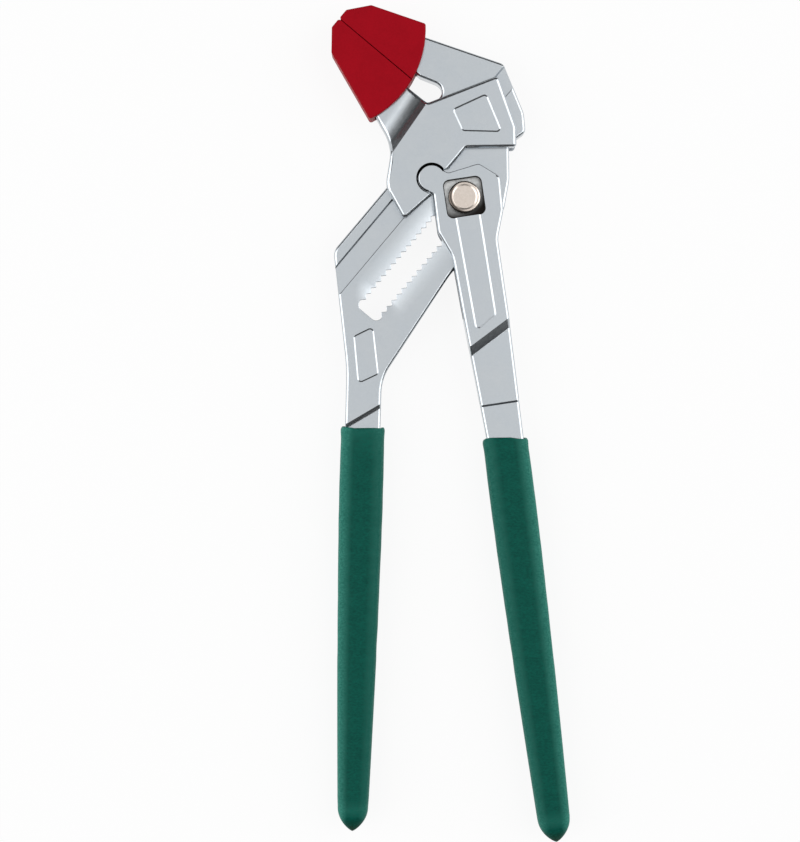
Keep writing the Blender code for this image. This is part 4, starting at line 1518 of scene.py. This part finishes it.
@dataclass
class JawCover:
    """Moulded slip-on cover of one jaw, in the slide frame."""

    side: Side
    node: str
    body: Body
    face: float
    back_line: tuple[Pair, Pair]
    back_wall: float
    rim: float = 0.0006
    seam_rim: float = 0.2
    face_wall: float = 0.00202
    side_wall: float = 0.0017
    tip_wall: float = 0.0043
    root_radius: float = 0.0305
    root_centre: Pair = (0.0118, 0.0647)
    bevel: Pair = (0.0059, 0.0048)
    notch: float = 0.0005
    fillet: float = 0.0008

    def outer_line(self, wall: float) -> tuple[Vector, Vector]:
        """The back line moved outwards.

        Args:
            wall: How far it is moved.

        Returns:
            A point near the root, and the direction towards the tip.
        """
        tip, root = (Vector(point) for point in self.back_line)
        lean = (tip - root).normalized()
        normal = Vector((lean.y, -lean.x)) * -self.side.value
        return root + normal * wall, lean

    def outline(self) -> list[Vector]:
        """Outer edge of the cover.

        Returns:
            Its points from the seam along the curved root, up the back and over the tip.
        """
        outward = self.side.value
        seam = self.face + outward * (self.face_wall + FIT_GAP)
        tip = JAW_REACH + FIT_GAP + self.tip_wall
        start, lean = self.outer_line(self.back_wall + FIT_GAP)
        offset = start - Vector(self.root_centre)
        along = offset.dot(lean)
        reach = math.sqrt(along ** 2 - offset.length_squared + self.root_radius ** 2)
        root = start + lean * (-along - reach)
        shoulder = on_line((start, lean), tip - self.bevel[1])
        seam_angle = -math.degrees(math.acos((seam - self.root_centre[0]) / self.root_radius))
        root_angle = math.degrees(math.atan2(root.y - self.root_centre[1], root.x - self.root_centre[0]))
        edge = arc(self.root_centre, self.root_radius, seam_angle, root_angle)
        return rounded([
            *sharp(edge[:-1]),
            (edge[-1], self.fillet),
            (shoulder, self.fillet),
            ((shoulder[0] + outward * self.bevel[0], tip), self.fillet),
            ((seam - outward * self.notch, tip), 0),
            ((seam, tip - self.notch), 0),
        ])

    def rim_share(self, middle: Vector, wall: Vector) -> float:
        """Crisp rims along the seam, softer ones elsewhere."""
        return self.seam_rim if wall.x * self.side.value > SEAM_FACING else 1.0

    def socket(self) -> Shape:
        """Cutter of the space that takes the jaw.

        Returns:
            The closed cutter.
        """
        back = self.outer_line(FIT_GAP)
        jaw = self.face + self.side.value * FIT_GAP
        tip = JAW_REACH + FIT_GAP
        points = [(jaw, tip), on_line(back, tip), on_line(back, NECK_REACH), (jaw, NECK_REACH)]
        return slab(points, -INNER_FACE, INNER_FACE)

    def build(self) -> None:
        """Make and dress the cover."""
        half = INNER_FACE + self.side_wall
        shape = slab(self.outline(), -half, half)
        mark_rims(shape, self.rim_share)
        shape = cut(shape, [self.socket()], self.rim)
        name = f"soft_{self.side.name.lower()}_cover"
        piece = finish_piece(name, shape, placed(SLIDE_ANGLE), self.body, MOULDED_PLASTIC)
        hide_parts(self.node)


@dataclass
class Studio:
    """Pale floor, soft side lights, dark grey boards that only reflections see, and the camera."""

    centre: Pair = (-0.0192, -0.0668)
    camera_height: float = 0.810
    sensor: float = 0.0240
    picture_height: float = 0.2526
    picture_distance: float = 0.800
    clip_start: float = 0.01
    ambient: float = 0.28
    side_light: float = 1.75
    side_size: Pair = (1.3, 1.7)
    side_place: Pair = (0.95, 0.90)
    side_shift: float = 0.2
    far_flag: Pair = (1.15, 0.80)
    far_shift: float = -0.14
    near_flag: Pair = (3.0, 1.5)
    flag_distance: float = 0.45
    felt: str = "585858"
    floor_size: float = 12.0
    floor_low: float = 0.0004
    paper: str = "F4F4F4"
    paper_roughness: float = 0.9
    paper_glow: float = 0.9

    def floor(self) -> None:
        """White floor that the camera sees as plain paper with the object's soft shadow."""
        surface = plain_surface("white paper floor", self.paper, self.paper_roughness)
        tree = surface.node_tree
        shader = tree.nodes["Principled BSDF"]
        glow = add_node(tree, "ShaderNodeEmission", {"Color": linear(WHITE), "Strength": 1.0})
        seen = self.seen_directly(tree)
        share = add_node(tree, "ShaderNodeMath", {"operation": "MULTIPLY", 1: self.paper_glow}, {0: seen})
        mix = add_node(
            tree, "ShaderNodeMixShader", None,
            {0: share.outputs[0], 1: shader.outputs[0], 2: glow.outputs[0]},
        )
        tree.links.new(mix.outputs[0], tree.nodes["Material Output"].inputs["Surface"])
        shape = bmesh.new()
        bmesh.ops.create_grid(shape, x_segments=1, y_segments=1, size=self.floor_size / 2)
        bmesh.ops.translate(shape, vec=(0, 0, -self.floor_low), verts=shape.verts)
        self.stand("paper_floor", shape, surface)

    def seen_directly(self, tree: Tree) -> Socket:
        """Socket that is 1 for what the camera, a reflection or a clear piece sees.

        Args:
            tree: The node tree to add it to.

        Returns:
            The output socket.
        """
        rays = add_node(tree, "ShaderNodeLightPath").outputs
        seen = rays["Is Camera Ray"]
        for ray in ("Is Glossy Ray", "Is Transmission Ray"):
            seen = add_node(
                tree, "ShaderNodeMath", {"operation": "MAXIMUM"}, {0: seen, 1: rays[ray]}
            ).outputs[0]
        return seen

    def stand(self, name: str, shape: Shape, surface: bpy.types.Material) -> bpy.types.Object:
        """Put a piece of the studio into the scene.

        Args:
            name: Its name.
            shape: Its geometry, which is used up.
            surface: Its material.

        Returns:
            The object.
        """
        prop = put(name, shape)
        prop.data.materials.append(surface)
        return prop

    def flags(self) -> None:
        """Dark grey boards above and below the picture, which draw the dark lines along the metal's edges."""
        surface = plain_surface("dark grey felt flag", self.felt, roughness=1.0)
        boards = {
            "far_flag": (self.far_flag, self.far_shift, self.flag_distance),
            "near_flag": (self.near_flag, 0.0, -self.flag_distance),
        }
        for name, (size, along, away) in boards.items():
            shape = bmesh.new()
            bmesh.ops.create_grid(shape, x_segments=1, y_segments=1, size=1 / 2)
            bmesh.ops.scale(shape, vec=(*size, 1), verts=shape.verts)
            stand = Matrix.Translation((self.centre[0] + along, self.centre[1] + away, size[1] / 2))
            stand @= Matrix.Rotation(math.pi / 2, 4, "X")
            bmesh.ops.transform(shape, matrix=stand, verts=shape.verts)
            board = self.stand(name, shape, surface)
            board.visible_camera = False
            board.visible_diffuse = False
            board.visible_shadow = False
            board.visible_transmission = False

    def lights(self) -> None:
        """Large soft boxes to the left and right."""
        for name, way in (("left_soft_box", -1), ("right_soft_box", 1)):
            lamp = bpy.data.lights.new(name, "AREA")
            lamp.shape = "RECTANGLE"
            lamp.size, lamp.size_y = self.side_size
            lamp.energy = self.side_light * math.pi * self.side_size[0] * self.side_size[1]
            holder = bpy.data.objects.new(name, lamp)
            along = way * self.side_shift
            place = Vector((way * self.side_place[0] + self.centre[0], along, self.side_place[1]))
            aim = (Vector((self.centre[0], along, 0)) - place).to_track_quat("-Z", "Y")
            holder.matrix_world = Matrix.Translation(place) @ aim.to_matrix().to_4x4()
            bpy.context.scene.collection.objects.link(holder)

    def world(self) -> None:
        """White surroundings for what is seen, and an even fill for the rest."""
        world = bpy.data.worlds.new("white studio")
        bpy.context.scene.world = world
        world.use_nodes = True
        tree = world.node_tree
        back = tree.nodes["Background"]
        back.inputs["Color"].default_value = linear(WHITE)
        level = add_node(
            tree, "ShaderNodeMapRange", {"To Min": self.ambient, "To Max": 1.0},
            {"Value": self.seen_directly(tree)},
        )
        tree.links.new(level.outputs["Result"], back.inputs["Strength"])

    def camera(self) -> None:
        """Camera straight above the tool, at the photograph's distance."""
        lens = bpy.data.cameras.new("camera")
        lens.sensor_fit = "VERTICAL"
        lens.sensor_height = MILLIMETRES * self.sensor
        lens.lens = MILLIMETRES * self.sensor * self.picture_distance / self.picture_height
        lens.clip_start = self.clip_start
        holder = bpy.data.objects.new("camera", lens)
        holder.location = (*self.centre, self.camera_height)
        bpy.context.scene.collection.objects.link(holder)
        bpy.context.scene.camera = holder

    def build(self) -> None:
        """Set up everything around the tool."""
        bpy.context.scene.view_settings.view_transform = "Standard"
        self.floor()
        self.flags()
        self.lights()
        self.world()
        self.camera()


def main() -> None:
    """Build the studio and each sub-assembly in order."""
    logging.basicConfig(level=logging.INFO, format="%(message)s")
    Studio().build()
    fixed = FixedHandle()
    fixed.build()
    SlidingJaw().build()
    lever = LeverHandle()
    lever.build()
    PivotLock().build()
    left_place = placed(fixed.handle_tilt, fixed.mouth())
    Grip(
        "left_sleeve", "left_grip", Body.FIXED, left_place,
        fixed.width, fixed.end_width, TANG_LENGTH, seed=1.3,
    ).build()
    right_place = placed(LEVER_TILT) @ laid((*lever.mouth, 0), lever.grip_tilt)
    # The right grip's painted light is stronger on its right flank, and it has no painted sheen at the mouth
    Grip(
        "right_sleeve", "right_grip", Body.LEVER, right_place,
        lever.width, lever.end_width, lever.tang_length, seed=4.1,
        flank_light=(0.55, 0.9), mouth_sheen=0.0, mouth_slant=-0.09,
    ).build()
    fixed_back = ((FIXED_FACE + FIXED_TIP_WIDTH, JAW_REACH), BACK_CORNER)
    JawCover(
        Side.UPPER, "upper_jaw_cover", Body.UPPER_COVER, FIXED_FACE, fixed_back, back_wall=0.0033
    ).build()
    sliding_back = ((SLIDING_FACE - SLIDING_TIP_WIDTH, JAW_REACH), WAIST)
    JawCover(
        Side.LOWER, "lower_jaw_cover", Body.LOWER_COVER, SLIDING_FACE, sliding_back, back_wall=0.0017
    ).build()


if __name__ == "__main__":
    main()
